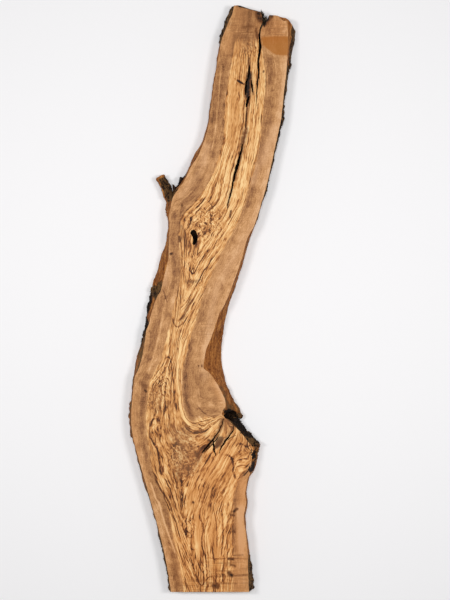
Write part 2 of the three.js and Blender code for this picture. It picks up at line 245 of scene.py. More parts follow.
# Lines of growth: how far each lies from the middle of the heart, in millimetres, and its way
GROWTH_LINES = [
    (-30, [
        (249, -5), (246, 20), (243, 45), (241, 60), (239.5, 80), (238, 100), (236, 125), (232, 145),
        (228, 160), (222, 180), (218, 200), (205, 213), (195, 224), (188, 238), (185, 255), (184, 270),
        (183, 283), (180.5, 295), (178, 308), (175, 320), (172, 333), (169.5, 345), (166.5, 358),
        (161, 374), (157, 390),
    ]),
    (-30, [
        (156, 415), (152, 420), (150.5, 428), (151, 436), (155, 447), (159, 460), (163, 480), (168, 500),
        (173, 515), (177, 535), (181, 555), (186, 575), (190, 594),
    ]),
    (0, [
        (255, -5), (252, 20), (249, 45), (249.5, 62), (248, 85), (247, 103), (246, 125), (242, 145),
        (239, 160), (233.5, 182), (229, 200), (222, 215), (213, 228), (204, 242), (196, 257),
        (192.5, 273), (189, 285), (184.5, 298), (180.5, 309), (177.5, 321), (176, 332), (175, 345),
        (174, 360),
    ]),
    (4, [
        (222.5, 420), (219, 427), (215, 433), (211, 438), (207, 444), (203, 448), (198, 456), (193, 463),
        (188, 472), (184, 485), (183, 500), (184, 515), (186, 530), (190, 545), (194, 560), (197, 575),
        (200, 594),
    ]),
    (20, [
        (172.5, 375), (172, 395), (173, 415), (176, 428), (182, 436), (190, 440), (198, 441),
        (205, 437), (212, 430), (218, 424), (221, 419),
    ]),
    (30, [
        (262, -5), (261, 20), (259.5, 45), (258.5, 64), (258, 80), (256, 100), (254, 120), (252, 140),
        (248.5, 160), (244, 180), (240, 200), (234, 212), (226, 224), (219, 236), (213, 248), (207, 260),
        (203, 272), (198, 285), (194, 297), (190, 308), (186, 320), (183, 332), (180.5, 345), (178, 360),
        (177, 375), (178, 392),
        (179.5, 408), (181.5, 418), (186, 426), (193, 430.5), (200, 431.5), (208, 428), (215, 422),
        (221, 416.5),
    ]),
    (34, [
        (235, 425), (231, 431), (228, 436), (224, 441), (221, 445), (216, 452), (210, 463), (204, 475),
        (200, 487), (198, 500), (198, 515), (199, 530), (202, 545), (205, 560), (208, 575), (211, 594),
    ]),
    (60, [
        (240, 430), (235, 440), (229, 452), (223, 463), (216, 474), (211, 485), (208, 500), (207, 515),
        (206, 530), (208, 545), (212, 560), (215, 575), (217, 594),
    ]),
    (84, [
        (246, 436), (241, 447), (236, 455), (232, 464), (227, 474), (222, 484), (218.5, 495), (217.5, 503),
        (218, 515), (218.5, 530), (220, 550), (223, 565), (225, 580), (226, 594),
    ]),
    (90, [(236, 456), (240, 453), (246, 452), (251, 453)]),
    (97, [(235, 462), (240, 460), (246, 459), (251, 460)]),
    (104, [(235, 469), (240, 466.5), (246, 466), (250, 467)]),
    (103, [
        (236, 480), (232, 488), (229, 497), (229.5, 510), (230, 530), (229.5, 550), (229.5, 570),
        (230, 594),
    ]),
]

# Growth at the heart's border, along its sides and below the burr
HEART_GROWTH = 60.0
FOOT_GROWTH = 110.0

# Where the heart's figure fades out towards the split end
HEART_END = (1470.0, 1540.0)

# The field of growth is settled on ever finer lattices, and smoothed at the end
FIELD_STEPS = (24.0, 12.0, 6.0, 3.0)
SETTLING_ROUNDS = 400
SMOOTHING_ROUNDS = 3

# Stretches along the plank where the saw met the layers aslant, which shows as nested V's pointing
# to the foot: (start, end, how steep), and the steps over which they are blurred
CATHEDRALS = [(690, 935, 0.26), (-40, 300, 0.2)]
CATHEDRAL_BLUR = range(-75, 76, 25)

# Curly figure, as (middle, half sizes, strength) in the photograph's pixels
BURL = [
    ((185, 455), (17, 28), 1.0),
    ((160, 387), (11, 24), 0.9),
    ((206, 224), (23, 19), 1.0),
    ((196, 284), (10, 7), 0.8),
    ((188, 527), (9, 12), 0.8),
    ((250, 50), (9, 10), 0.8),
    ((157, 432), (7, 20), 0.5),
    ((153, 402), (8, 16), 0.9),
    ((205, 425), (10, 8), 0.8),
    ((215, 578), (14, 9), 0.6),
    ((190, 262), (12, 14), 0.5),
    ((243, 452), (10, 12), 0.4),
]

# Dull places with close curls in them, as above
DULL = [
    ((181, 436), (13, 12), 0.9),
    ((186, 458), (16, 20), 1.0),
    ((228, 424), (9, 9), 0.7),
    ((201, 434), (8, 5), 0.5),
    ((156, 399), (8, 14), 0.5),
    ((247, 44), (10, 9), 0.7),
]

# Calm places, where the layers lie flat and few lines show, as above
CALM = [
    ((212, 472), (9, 14), 0.4),
    ((222, 458), (10, 12), 0.4),
    ((228, 475), (8, 14), 0.35),
    ((199, 532), (5, 26), 0.9),
    ((216, 560), (5, 26), 0.8),
    ((213, 530), (6, 18), 0.6),
    ((192, 500), (8, 14), 0.4),
    ((232, 112), (8, 44), 0.4),
]

# Where the wood is ruddier, as above
RUDDY = [((205, 555), (45, 55), 0.9), ((215, 475), (40, 45), 0.75), ((272, 30), (22, 14), 0.7)]

# Soft dark stains: (half width in mm, strength, way in pixels)
STAINS = [
    (5, 0.45, [(249, 58), (249.3, 68)]),
    (8, 1.0, [(249.5, 74), (248, 86), (247.5, 96)]),
    (5, 0.45, [(251, 78), (252, 86), (253, 94)]),
    (5, 0.5, [(248.5, 98), (247, 106)]),
    (4, 0.5, [(247.5, 108), (246.5, 116), (246, 128)]),
    (8, 0.55, [(246, 130), (244, 136), (242, 146)]),
    (6, 0.5, [(243, 144), (240, 158), (237, 168), (234, 180)]),
    (5, 0.4, [(232, 188), (229, 199), (228, 205)]),
    (3, 0.7, [(231, 211), (230, 217)]),
    (7, 0.5, [(223, 420), (219, 431), (213, 440), (203, 452)]),
    (9, 0.35, [(207, 446), (200, 455), (197, 460)]),
    (8, 0.3, [(226, 417), (228, 422)]),
    (5, 0.4, [(234, 425), (232, 431), (227, 437), (221, 446)]),
    (4, 0.7, [(208.5, 440), (210.5, 441)]),
    (4, 0.4, [(181, 212), (180.5, 216)]),
    (4, 0.4, [(181.5, 226), (184, 231)]),
    (8, 0.3, [(177, 471), (178.5, 480)]),
    (4, 0.8, [(145, 390.5), (146, 391.5)]),
    (9, 0.3, [(143, 384), (146, 388)]),
    (4, 0.75, [(179, 237), (179.5, 241)]),
    (8, 0.25, [(181, 226), (184, 238), (187, 248)]),
    (3.5, 0.8, [(170.5, 254), (172.5, 253.5)]),
    (3, 0.6, [(182, 204), (182, 206)]),
    (4, 0.8, [(233.8, 511.5), (235.5, 510), (237, 509)]),
    (3, 0.6, [(230.5, 515), (234, 515.5)]),
    (3, 0.75, [(193, 502), (193.5, 503)]),
    (3, 0.7, [(234, 531), (234.5, 532)]),
    (3, 0.6, [(263.5, 71), (263.5, 72)]),
    (6, 0.75, [(229, 573), (232, 575.5)]),
    (7, 0.72, [(214, 586), (218, 586.5)]),
    (3, 0.7, [(222.5, 574.5), (224, 575)]),
    (4, 0.4, [(228, 576), (247, 575)]),
    (4, 0.3, [(203, 583), (236, 583.5)]),
    (4, 0.5, [(231, 565), (235, 566)]),
    (3, 0.35, [(233, 555.5), (243, 555)]),
    (4, 0.7, [(228.5, 558.8), (233, 559)]),
    (6, 0.35, [(190, 300), (187, 308), (183, 318)]),
    (9, 0.75, [(258.5, 12.5), (258.5, 16), (261, 20)]),
    (7, 0.9, [(264.5, 24), (267.5, 19.5), (271, 16)]),
    (8, 0.35, [(244, 27), (250, 26)]),
    (5, 0.5, [(256, 29), (257, 37)]),
    (6, 0.35, [(187, 282), (198, 281)]),
    (5, 0.5, [(159, 283), (158, 290)]),
    (3, 0.5, [(149.5, 331), (151, 333)]),
    (2.5, 0.6, [(198.5, 365.5), (198.5, 366.5)]),
    (2.5, 0.6, [(201.8, 365), (201.8, 366.5)]),
]

# Crisp lines: (half width in mm, strength, way in pixels). The strongest are black, the rest brown. The one
# along the right arris at the bulge is painted shadow.
DARK_LINES = [
    (3.0, 1.5, [(235.5, 79.2), (240, 82), (246, 85.2)]),
    # Painted shadow: a dark line along the show face's right arris at the bulge, for the shade just under it
    (1.5, 0.75, [(211.5, 339), (208, 347), (205.5, 355), (203.8, 363), (204.5, 368)]),
    (1.5, 0.75, [(161, 287), (164, 292), (166, 299), (168, 304)]),
    (1.2, 0.45, [(150, 315.5), (155, 316), (160, 315)]),
    (2.2, 0.84, [(247, 104), (246.3, 116), (245.6, 128), (244, 138), (242.6, 147)]),
    (3.4, 1.3, [(235.3, 5.4), (245, 7.2), (255, 9.9), (260.2, 11.4), (262.6, 14.2)]),
    (2.2, 0.9, [(258.6, 31), (257.6, 38), (257.2, 43)]),
    (3.0, 0.78, [
        (224.5, 454.5), (228, 455), (231, 457), (233, 461), (233.5, 466), (233, 471), (234.5, 476),
        (237, 481),
    ]),
    (3.0, 0.85, [(236.5, 445), (239.5, 443.5), (243, 444.5)]),
    (2.0, 0.95, [(243, 445), (247, 447), (251, 445)]),
    (2.2, 1.0, [(252, 468.5), (248, 471), (244.5, 475), (240, 478.5)]),
    (1.6, 0.6, [(234.5, 461.5), (240, 459.5), (246, 458.5), (250, 460)]),
    (1.6, 0.5, [(236, 467), (242, 465), (249, 466.5)]),
    (2.4, 0.85, [
        (157, 418.5), (153, 419), (150.5, 423), (149.5, 430), (150, 437), (153.5, 443), (157, 449),
        (158.7, 455), (159.3, 463), (160, 470), (162, 478),
    ]),
    (1.7, 0.7, [(187, 216), (191, 212), (197, 207), (202, 202), (206, 196)]),
    (1.7, 0.7, [(226, 230), (221, 237), (217, 243), (213, 250), (209, 256)]),
    (1.8, 0.7, [(195, 403), (199, 408), (204, 413), (208, 415.5), (214, 416.5), (222, 413.5)]),
    (1.7, 0.7, [(207, 200), (210, 203), (212.5, 207), (216, 205)]),
    (1.9, 0.75, [(210, 209), (210.5, 217), (211, 224), (210.5, 232)]),
    (1.8, 0.8, [(230, 516), (233, 515), (235.5, 510), (237, 507)]),
    (2.8, 0.9, [(228, 558.8), (238, 558.4), (247.5, 559)]),
    (3.0, 0.5, [(232.6, 514), (232.8, 530), (233, 545), (232.6, 557)]),
    (2.0, 0.8, [
        (198.5, 512), (200, 519), (203, 524), (203.5, 530), (202, 537), (202, 546), (205, 556), (208, 566),
    ]),
    (1.6, 0.7, [(205, 524), (206, 519), (209, 516)]),
    (1.7, 0.7, [(211.5, 545), (213, 552), (214, 559), (215, 566)]),
    (1.5, 0.65, [(227.3, 540), (227.5, 560), (227.3, 575)]),
    (1.6, 0.7, [(190, 549), (193.5, 550), (196, 549.5)]),
    (1.8, 0.6, [(208, 557.6), (216, 559), (228, 558.6)]),
    (1.9, 0.75, [
        (190, 556), (193, 566), (196, 575), (199, 583), (202, 586), (206, 580), (209, 577), (213, 576),
    ]),
    (1.6, 0.6, [(196, 556), (198, 563), (201, 570), (203, 573), (206, 568), (208, 562)]),
    (1.6, 0.6, [(200, 558), (203, 565), (206, 570), (210, 571)]),
    (1.6, 0.7, [(180, 488), (180.5, 496), (182, 503), (183.5, 510)]),
    (1.6, 0.7, [(182.5, 492), (183, 499), (184, 503.5), (185.5, 499), (185, 493)]),
    (1.6, 0.6, [(184, 528), (186, 534), (189, 538), (193, 537)]),
    (1.5, 0.55, [(183, 522), (186, 530), (190, 533.5), (194, 531)]),
    (1.5, 0.55, [(186, 518), (188, 522), (192, 519)]),
    (1.7, 0.65, [(188, 545), (192, 549.5), (196, 549)]),
    (2.6, 0.7, [
        (198, 290), (195, 296), (193, 300), (190, 305), (187, 310.5), (184, 315), (181, 318.5),
        (178.5, 320.8), (176, 320),
    ]),
    (2.0, 0.7, [
        (172.8, 318), (173.5, 322), (175.5, 326.5), (178.5, 327), (182, 324), (186, 319.5), (190, 313),
        (193, 306), (196, 299.5),
    ]),
    (1.8, 0.75, [(180, 309), (184, 305), (188, 300), (191, 295), (195, 287), (199, 281), (203, 272)]),
    (1.8, 0.7, [
        (189, 262), (189.5, 269), (191, 273), (193.5, 274), (196, 270.5), (198, 265), (201, 261),
        (204, 256), (206, 250),
    ]),
    (1.6, 0.7, [(187, 285), (188, 281.5), (190, 280)]),
    (1.6, 0.7, [(192.5, 284.5), (194, 281), (196, 280)]),
    (1.6, 0.6, [(206, 270), (203, 277), (201, 283)]),
    (1.5, 0.7, [(181, 284), (180.6, 296), (180.8, 307)]),
    (1.4, 0.6, [(179, 283), (177.5, 296), (175.8, 308)]),
    (1.5, 0.6, [(213, 255), (210, 262), (207, 268), (205, 275)]),
    (1.5, 0.6, [(184, 258), (185, 264), (183.5, 269), (184, 275)]),
    (1.7, 0.65, [(183, 424), (187, 429), (193, 433), (200, 434), (207, 430), (214, 424)]),
    (1.5, 0.55, [(184, 420), (188, 425), (195, 428.5), (203, 427), (211, 421), (216, 417.5)]),
    (1.5, 0.55, [(180, 427), (185, 433), (192, 437), (199, 437)]),
    (1.8, 0.7, [
        (170, 511), (173, 516), (176, 522), (178, 530), (180, 538), (184, 548), (187, 556), (190, 568),
    ]),
    (1.6, 0.55, [(176, 548), (179, 556), (182, 567), (185, 580), (187, 590)]),
    (1.6, 0.6, [(199, 508), (200, 516), (202, 522), (201, 530)]),
    (1.6, 0.55, [(213, 508), (216, 520), (217, 535), (217, 550)]),
    (1.6, 0.55, [(222, 510), (223, 525), (222.5, 545), (221, 558)]),
    (2.2, 0.7, [(154, 477), (158, 485), (163, 493), (168, 500), (171, 507), (173, 513)]),
    (1.9, 0.7, [(151.5, 471), (154.5, 474), (157, 478), (158.5, 482)]),
    (1.6, 0.6, [(245, 470), (240, 476), (236, 484)]),
    (2.0, 0.8, [
        (165, 361), (166, 358), (168, 356.5), (170.5, 359), (171.5, 364), (172, 372), (173.5, 384),
    ]),
    (1.4, 0.7, [(150.5, 382), (154, 376.5), (158, 371), (162, 366), (165, 361)]),
    (1.4, 0.7, [(152, 386), (157, 379.5), (162, 374), (166, 368), (168, 364)]),
    (1.4, 0.7, [(155.5, 387), (160, 381.5), (165, 378), (168, 379), (170, 384)]),
    (1.4, 0.6, [(159, 388), (163, 383.5), (166, 382), (168, 387)]),
    (1.4, 0.7, [(164, 373), (165.5, 367), (168.5, 366.5), (169.5, 371), (168.5, 378)]),
    (2.0, 0.8, [(176, 346), (178, 349), (177.5, 353)]),
    (2.0, 0.85, [(164.5, 388), (164.5, 397)]),
    (1.7, 0.8, [(171.5, 389), (171.5, 395)]),
    (1.7, 0.75, [(175, 389), (174.3, 396)]),
    (1.9, 0.8, [(152.5, 401), (153, 411)]),
    (1.8, 0.75, [(165.5, 402), (166, 413)]),
    (1.5, 0.7, [(157.5, 395), (158, 402)]),
    (1.5, 0.65, [(160, 403), (160.3, 412)]),
    (1.5, 0.65, [(155, 389), (156.3, 394)]),
    (1.5, 0.65, [(163.3, 407), (164, 418)]),
    (1.4, 0.6, [(169, 397), (169, 406)]),
    (1.4, 0.6, [(155, 405), (156, 414)]),
    (1.4, 0.6, [(161, 390), (161.5, 397)]),
    (1.1, 0.35, [(203.3, 300), (203.6, 319)]),
    (1.2, 0.4, [(201.5, 326), (202, 341)]),
    (1.1, 0.35, [(196, 324.6), (214, 324.4)]),
    (1.5, 0.7, [(204.5, 216), (205, 224)]),
    (1.5, 0.7, [(200, 214), (201, 218)]),
    (1.4, 0.6, [(207, 222), (207.5, 229)]),
    (1.6, 0.7, [(212.5, 214), (212, 220)]),
    (1.5, 0.65, [(219, 221), (217, 226), (216, 230)]),
    (1.4, 0.6, [(226, 222), (227, 228)]),
    (1.4, 0.6, [(223, 226), (220, 232)]),
    (1.4, 0.6, [(199, 222), (199.5, 228)]),
    (1.4, 0.6, [(204, 229), (204.5, 234)]),
    (1.4, 0.6, [(209, 229), (210, 236)]),
    (1.5, 0.6, [(204, 238), (204.5, 243)]),
    (1.4, 0.6, [(217, 208), (220, 212), (219, 216)]),
    (1.4, 0.6, [(186.5, 251), (186.8, 257)]),
    (1.4, 0.6, [(182, 250), (182.5, 258)]),
    (1.4, 0.7, [(197, 421), (201, 427)]),
    (1.4, 0.7, [(204, 420), (210, 425)]),
    (1.3, 0.6, [(206, 418.5), (212, 423)]),
]

# Pale streaks: (half width in mm, strength, way in pixels)
PALE_STREAKS = [
    (2.6, 0.7, [(163.5, 308), (161, 325), (158, 340), (153, 358), (148.5, 373)]),
    (2.0, 0.6, [(166, 300), (163, 318), (160, 333), (155, 350)]),
    (1.7, 0.8, [(221.5, 66), (220, 80), (218.5, 100), (216, 125), (212, 150)]),
    (1.8, 0.6, [(228, 30), (238, 31.5), (247, 33.5)]),
    (1.6, 0.6, [(266, 36.6), (277, 36.2), (287.5, 36.4)]),
    (3.0, 1.2, [
        (181.5, 334), (180.5, 348), (177.8, 360), (177.2, 372), (177.5, 384), (179, 394), (180.5, 406),
        (183, 416), (187, 423), (193, 428), (200, 430), (208, 427), (216, 420.5),
    ]),
    (3.2, 1.1, [(168.5, 330), (168.5, 345), (167.5, 354)]),
    (2.0, 0.9, [(186.5, 340), (184, 352), (182, 363), (181.5, 378), (181, 390)]),
    (2.4, 0.9, [(166.5, 366), (167.5, 376)]),
    (4.0, 0.7, [(150.5, 384), (155, 377), (160, 369)]),
    (5.0, 0.6, [(184, 286), (186, 292), (186.5, 297)]),
    (2.4, 0.9, [(205.5, 272), (202, 282), (198.5, 291), (195, 302)]),
    (3.2, 1.0, [(191, 310), (187, 321), (185, 331), (183, 341)]),
    (2.0, 0.9, [(195, 310), (191.5, 322), (189, 334)]),
    (3.0, 0.8, [(176.5, 300), (174.5, 308), (174, 316)]),
    (2.2, 0.8, [(220, 238), (214, 248), (209, 258), (204, 268)]),
    (3.4, 0.6, [(201, 232), (201.5, 240), (201, 248)]),
    (6.0, 0.5, [(239, 449), (243, 455), (245, 462), (241, 470)]),
    (6.0, 1.2, [(184, 476), (184.5, 492)]),
    (3.0, 0.55, [(262, 60), (263.5, 75), (263, 92), (261, 112), (259, 130)]),
    (3.0, 0.5, [(252, 165), (247, 185), (243, 205), (236, 222), (226, 240), (216, 258)]),
    (2.6, 0.5, [(204, 192), (212, 179), (217, 166), (220, 152)]),
    (2.0, 1.5, [
        (150.5, 483), (153.5, 491), (156, 499), (159, 503), (161, 510), (163, 518), (165.5, 526),
        (168, 533), (172, 544), (175, 552),
    ]),
    (3.4, 1.2, [(170.5, 512), (172.5, 525), (175, 538), (178, 551), (181, 564), (183.5, 577), (185, 590)]),
    (5.0, 0.9, [(206.5, 522), (206.5, 532), (208, 543), (210.5, 555), (212.5, 568), (213.5, 575)]),
    (1.8, 0.8, [(229, 545), (229.2, 560), (229, 575)]),
    (3.0, 0.9, [(225.2, 512), (225.0, 540), (225.2, 574)]),
    (2.4, 0.8, [(222, 530), (221.6, 560), (222, 590)]),
    (4.5, 0.6, [(219.5, 516), (220, 530), (220, 545)]),
    (3.0, 0.6, [(231, 503), (232, 508), (233.5, 511), (231.5, 514)]),
    (2.0, 0.7, [(169, 546), (172, 549), (175, 553)]),
    (3.2, 0.55, [(209, 490), (207, 505), (205, 520), (204, 535), (207, 550), (211, 565)]),
    (2.6, 0.5, [(233, 445), (226, 460), (219, 474)]),
    (5.0, 0.4, [(184, 512), (188, 525), (190, 545)]),
    (2.6, 0.5, [(225, 545), (226, 556), (226.5, 568)]),
    (3.4, 0.5, [(182, 215), (190, 214), (199, 207), (206, 200)]),
    (16, 0.7, [(226, 150), (225, 165), (226, 182), (222, 196)]),
    (14, 0.9, [(236, 192), (226, 206)]),
    (10, 1.2, [(236, 450), (236, 459)]),
    (11, 0.9, [(195, 546), (195, 562)]),
    (11, 0.8, [(194, 210), (196, 219)]),
    (11, 0.8, [(166, 379), (164, 390)]),
    (10, 0.9, [(246, 165), (243, 185)]),
    (10, 0.9, [(196, 278), (193, 292)]),
    (9, 0.8, [(186, 300), (184, 311)]),
    (9, 0.8, [(216, 249), (213, 262)]),
    (10, 0.8, [(225, 547), (225, 563)]),
    (8, 0.7, [(176, 288), (174, 302)]),
    (9, 0.8, [(205, 560), (205, 570)]),
    (8, 0.7, [(165, 460), (167, 472)]),
    (1.8, 1.0, [(196, 418), (199, 423)]),
    (1.8, 1.0, [(199, 416.5), (204, 422)]),
    (1.8, 0.9, [(203, 422), (209, 425)]),
    (2.2, 1.0, [(211, 418), (215, 421)]),
    (1.8, 0.9, [(198, 425), (202, 428)]),
]

# Where the wood is warmer, darker or lighter: (half width in mm, strength, way in pixels). A warm and a
# light band along the right arris at the bulge are a painted highlight.
WARM_BANDS = [
    (30, 0.5, [(240, 14), (236, 30), (230, 48)]),
    (18, 0.35, [(278, 20), (276, 33)]),
    (20, 0.75, [(243, 484), (241, 520), (242, 550), (242, 590)]),
    (22, 0.8, [(236, 565), (240, 590)]),
    # Painted highlight: warmer along the right arris at the bulge
    (14, 0.45, [(214, 382), (222, 398)]),
    (8, 0.35, [(132, 400), (133, 430), (150, 490)]),
]
DARK_BANDS = [
    (16, 1.2, [(224, 56), (219, 88), (214, 120)]),
    (16, 0.5, [(214, 120), (210, 138)]),
    (14, 0.5, [(200, 178), (188, 200)]),
    (12, 0.8, [(271, 60), (270, 90), (268, 120), (262, 150), (254, 180), (248, 205)]),
    (9, 1.0, [(190.5, 342), (186, 362), (185.5, 380), (186.5, 400), (191, 414)]),
    (12, 1.6, [(186, 236), (187, 246)]),
    (6, 0.8, [(183, 206), (181, 216), (178, 232)]),
    (16, 0.7, [
        (166, 280), (158, 320), (150, 350), (146, 370), (141, 395), (140, 430), (148, 465), (156, 500),
    ]),
    (14, 0.9, [(165, 505), (170, 530), (174, 560), (177, 590)]),
    (9, 0.8, [(236, 488), (237, 505)]),
    (14, 0.8, [(176, 215), (175, 235), (175, 290)]),
    (34, 1.0, [(245, 12), (242, 34)]),
    (14, 0.6, [(270, 24), (272, 34)]),
    (36, 0.3, [(180, 436), (186, 468)]),
    (9, 1.0, [(198, 516), (199, 535), (201, 550), (206, 566)]),
    (8, 0.4, [(193, 498), (194, 520), (193, 538)]),
    (6, 1.0, [(235, 500), (235.2, 520), (235.5, 550)]),
    (9, 0.7, [(214, 492), (214, 520), (214, 545)]),
    (8, 0.9, [(216, 545), (217, 565), (217, 590)]),
    (30, 0.55, [(243, 40), (236, 90), (230, 150)]),
    (14, 0.6, [(226, 419), (229, 426), (231, 430)]),
    (40, 0.45, [(203, 375), (206, 398)]),
    (14, 0.7, [(212, 563), (214, 590)]),
    (12, 0.5, [(208, 300), (203, 320)]),
    (12, 1.1, [(243, 443), (250, 446)]),
    (14, 1.3, [(154, 388), (153.5, 400), (153, 412)]),
    (14, 1.5, [(153, 436), (155, 450), (158, 470)]),
    (9, 0.9, [(254, 38), (255, 60)]),
    (13, 0.8, [(236, 477), (234, 492)]),
    (20, 0.9, [(209, 470), (210, 482)]),
    (11, 1.7, [(215, 569), (216, 584)]),
    (12, 0.9, [(214, 136), (213, 150)]),
    (10, 0.9, [(225, 104), (224, 124)]),
    (8, 0.7, [(214, 421), (215, 430)]),
    (9, 0.9, [(144, 446), (146, 464)]),
    (14, 0.4, [(161, 305), (163, 308)]),
    (10, 0.9, [(155, 488), (157, 500)]),
    (10, 0.9, [(143, 385), (143, 402)]),
    (14, 2.0, [(236, 38), (234, 54)]),
    (12, 1.1, [(234, 58), (234, 68)]),
    (22, 1.3, [(202, 436), (205, 456)]),
    (18, 0.9, [(213, 454), (225, 456)]),
    (15, 0.9, [(215, 455), (212, 470)]),
    (12, 1.1, [(198, 478), (194, 492)]),
    (15, 1.6, [(229, 420), (223, 430)]),
    (8, 0.7, [(194, 398), (197, 410)]),
    (13, 0.9, [(186, 577), (185, 594)]),
    (60, 0.4, [(215, 455), (205, 520), (205, 590)]),
    (30, 0.5, [(165, 420), (172, 470), (182, 520)]),
]
LIGHT_BANDS = [
    (12, 0.6, [(217, 285), (212, 310), (207, 345), (205, 375)]),
    (10, 0.5, [(286, 60), (283, 90), (280, 120), (272, 160), (262, 200), (250, 232)]),
    (15, 0.55, [(247, 236), (238, 252), (228, 268), (222, 280)]),
    (10, 0.5, [(201, 170), (190, 185), (182, 195)]),
    (11, 0.8, [(207, 146), (203, 164)]),
    (10, 0.9, [(257, 166), (253, 182)]),
    (14, 0.9, [(275, 128), (268, 146), (263, 162)]),
    (8, 0.8, [(166, 268), (165, 284)]),
    # Painted highlight: lighter along the right arris at the bulge
    (6, 0.9, [(216, 384), (221, 391), (225, 400)]),
    (9, 1.3, [(240.5, 508), (240.5, 525), (241.5, 552)]),
]

# Oiled patch on the right lobe, whose round lower border is sharp, in pixels
ORANGE_PATCH = [
    (261.5, 37), (275, 36), (288.5, 36), (288.5, 55.5), (281, 55.5), (277, 55), (273, 53.5), (270, 51),
    (266, 48), (262.5, 45),
]

# Old smooth stains with a clear border: between the burr's cracks, and by the cleft
BROWN_PATCHES = [
    [(216, 438.5), (219.5, 436.3), (223, 436), (223.5, 439.5), (220.5, 446), (217, 449), (214.5, 446.5)],
    [(255.5, 12), (260, 12.5), (263.5, 20), (262.5, 23.5), (258.5, 21), (255.5, 16.5)],
]

# Where the saw burnt and smeared the face across the grain: (middle, half sizes, strength) in pixels
SAW_BURNS = [
    ((229, 574), (24, 21), 0.7),
    ((195, 586), (25, 9), 0.6),
    ((243, 27), (16, 14), 0.8),
    ((277, 28), (13, 10), 0.6),
    ((207, 328), (12, 14), 0.5),
    ((200, 380), (10, 20), 0.3),
    ((168, 580), (12, 20), 0.5),
]

# Rotted black places by the torn edge, in pixels
ROTTED = [
    [
        (223, 410), (230, 409.5), (237, 412), (241, 418), (246, 423), (253, 431), (259, 438), (255, 440),
        (248, 437), (244.5, 435), (240.5, 431), (235, 425), (229, 419), (224, 414),
    ],
    [(251, 450.5), (255.5, 450), (256, 458), (253, 459.5), (250.5, 455.5)],
    [(252.5, 462), (256, 461), (254.5, 470), (251.5, 472.5), (248.5, 471)],
]

# Bare wood where the bark is off the twig, as (half width in mm, strength, way in pixels)
BARE_STRIPS = [
    (9, 1.3, [(154.5, 178), (157, 184), (159.5, 190), (162, 198)]),
    (4, 0.9, [(155, 178), (162, 175.5)]),
]

# Stretches where the natural edge is worn bare up to the arris: (side, start, end, height it starts at)
WORN_ARRISES = [(-1, 740, 812, 30.0), (-1, 1096, 1152, 30.0), (1, 1440, 1640, 36.0)]

# Natural edges from foot to split end: (y, share of bark, share of rot-black)
EDGE_STATE = {
    -1: [
        (0, 0.7, 0.2), (300, 0.5, 0.1), (440, 0.5, 0.0), (600, 0.5, 0.0), (640, 0.45, 0.05),
        (670, 0.5, 0.2), (715, 0.9, 0.6), (790, 0.9, 0.7), (832, 0.7, 0.1), (848, 0.2, 0.0),
        (950, 0.1, 0.0), (1060, 0.2, 0.0), (1075, 1.0, 0.35), (1134, 1.0, 0.4), (1150, 0.1, 0.0),
        (1270, 0.2, 0.0), (1330, 0.5, 0.1), (1375, 0.25, 0.0), (1490, 0.25, 0.0), (1512, 0.9, 0.1),
        (1600, 1.0, 0.1),
    ],
    1: [
        (0, 0.8, 0.3), (80, 0.8, 0.0), (100, 0.4, 0.0), (240, 0.3, 0.0), (260, 0.0, 0.0),
        (320, 0.0, 0.0), (335, 0.3, 0.1), (395, 0.35, 0.1), (410, 0.9, 0.0), (430, 0.9, 0.2),
        (470, 0.6, 0.1), (520, 0.5, 0.0), (600, 0.1, 0.0), (760, 0.1, 0.0), (840, 0.2, 0.0),
        (1000, 0.5, 0.1), (1240, 0.8, 0.3), (1260, 1.0, 0.8), (1300, 1.0, 0.6), (1320, 0.7, 0.2),
        (1480, 0.8, 0.3), (1600, 0.9, 0.4),
    ],
}

# Where the loose pieces lie: (materials, least bark, reach in X, Y and Z)
GROUNDS = {
    "barked": ((BARKED,), 0.6, (-240, 240), (-10, 1610), (3, 46)),
    "torn_wall": ((BARKED, DIRT_AND_SHADE), -1.0, (55, 240), (355, 482), (4, 47)),
    "spiky_edge": ((BARKED,), -1.0, (170, 240), (1246, 1300), (10, 40)),
    "cleft_wall": ((DIRT_AND_SHADE,), -1.0, (120, 150), (1541, 1577), (4, 45)),
}

# Where none lie, on the bare flank of the twig and on the smooth corner of the end: (reach in X and Y)
SMOOTH_PLACES = [((-112, 0), (1084, 1145)), ((-240, 0), (1118, 1145)), ((180, 240), (1450, 1610))]

# Heights between which the marks of the show face fade out down the wall of a crack
FACE_FADE = (20.0, 49.0)

# Large odd numbers that scramble a whole-numbered point and a seed
SCRAMBLERS = (374761393, 668265263, 1440662683, 974634777, 1274126177)

# Edges that turn more than this stay crisp
SHARP_DEGREES = 38.0


def in_frame(points):
    """Plank millimetres to the frame's metres"""
    points = np.asarray(points, float).copy()
    points[..., 0] += DATUM_SHIFT[0]
    points[..., 1] += DATUM_SHIFT[1]
    return points * MM


def on_plank(pixels):
    """Pixels of the photograph to millimetres on the show face"""
    pixels = np.asarray(pixels, float)
    x = (pixels[..., 0] - PHOTO_CENTRE[0]) * MM_PER_PIXEL + PHOTO_DATUM[0]
    y = (PHOTO_CENTRE[1] - pixels[..., 1]) * MM_PER_PIXEL + PHOTO_DATUM[1]
    return np.stack([x, y], -1)


def lattice(x, y, z, seed):
    """A repeatable random value from 0 to 1 for each whole-numbered point"""
    a, b, c, d, e = SCRAMBLERS
    mixed = (x * a + y * b + z * c + seed * d) & 0xFFFFFFFF
    mixed = ((mixed ^ (mixed >> 13)) * e) & 0xFFFFFFFF
    return ((mixed ^ (mixed >> 16)) & 0xFFFF) / 0xFFFF


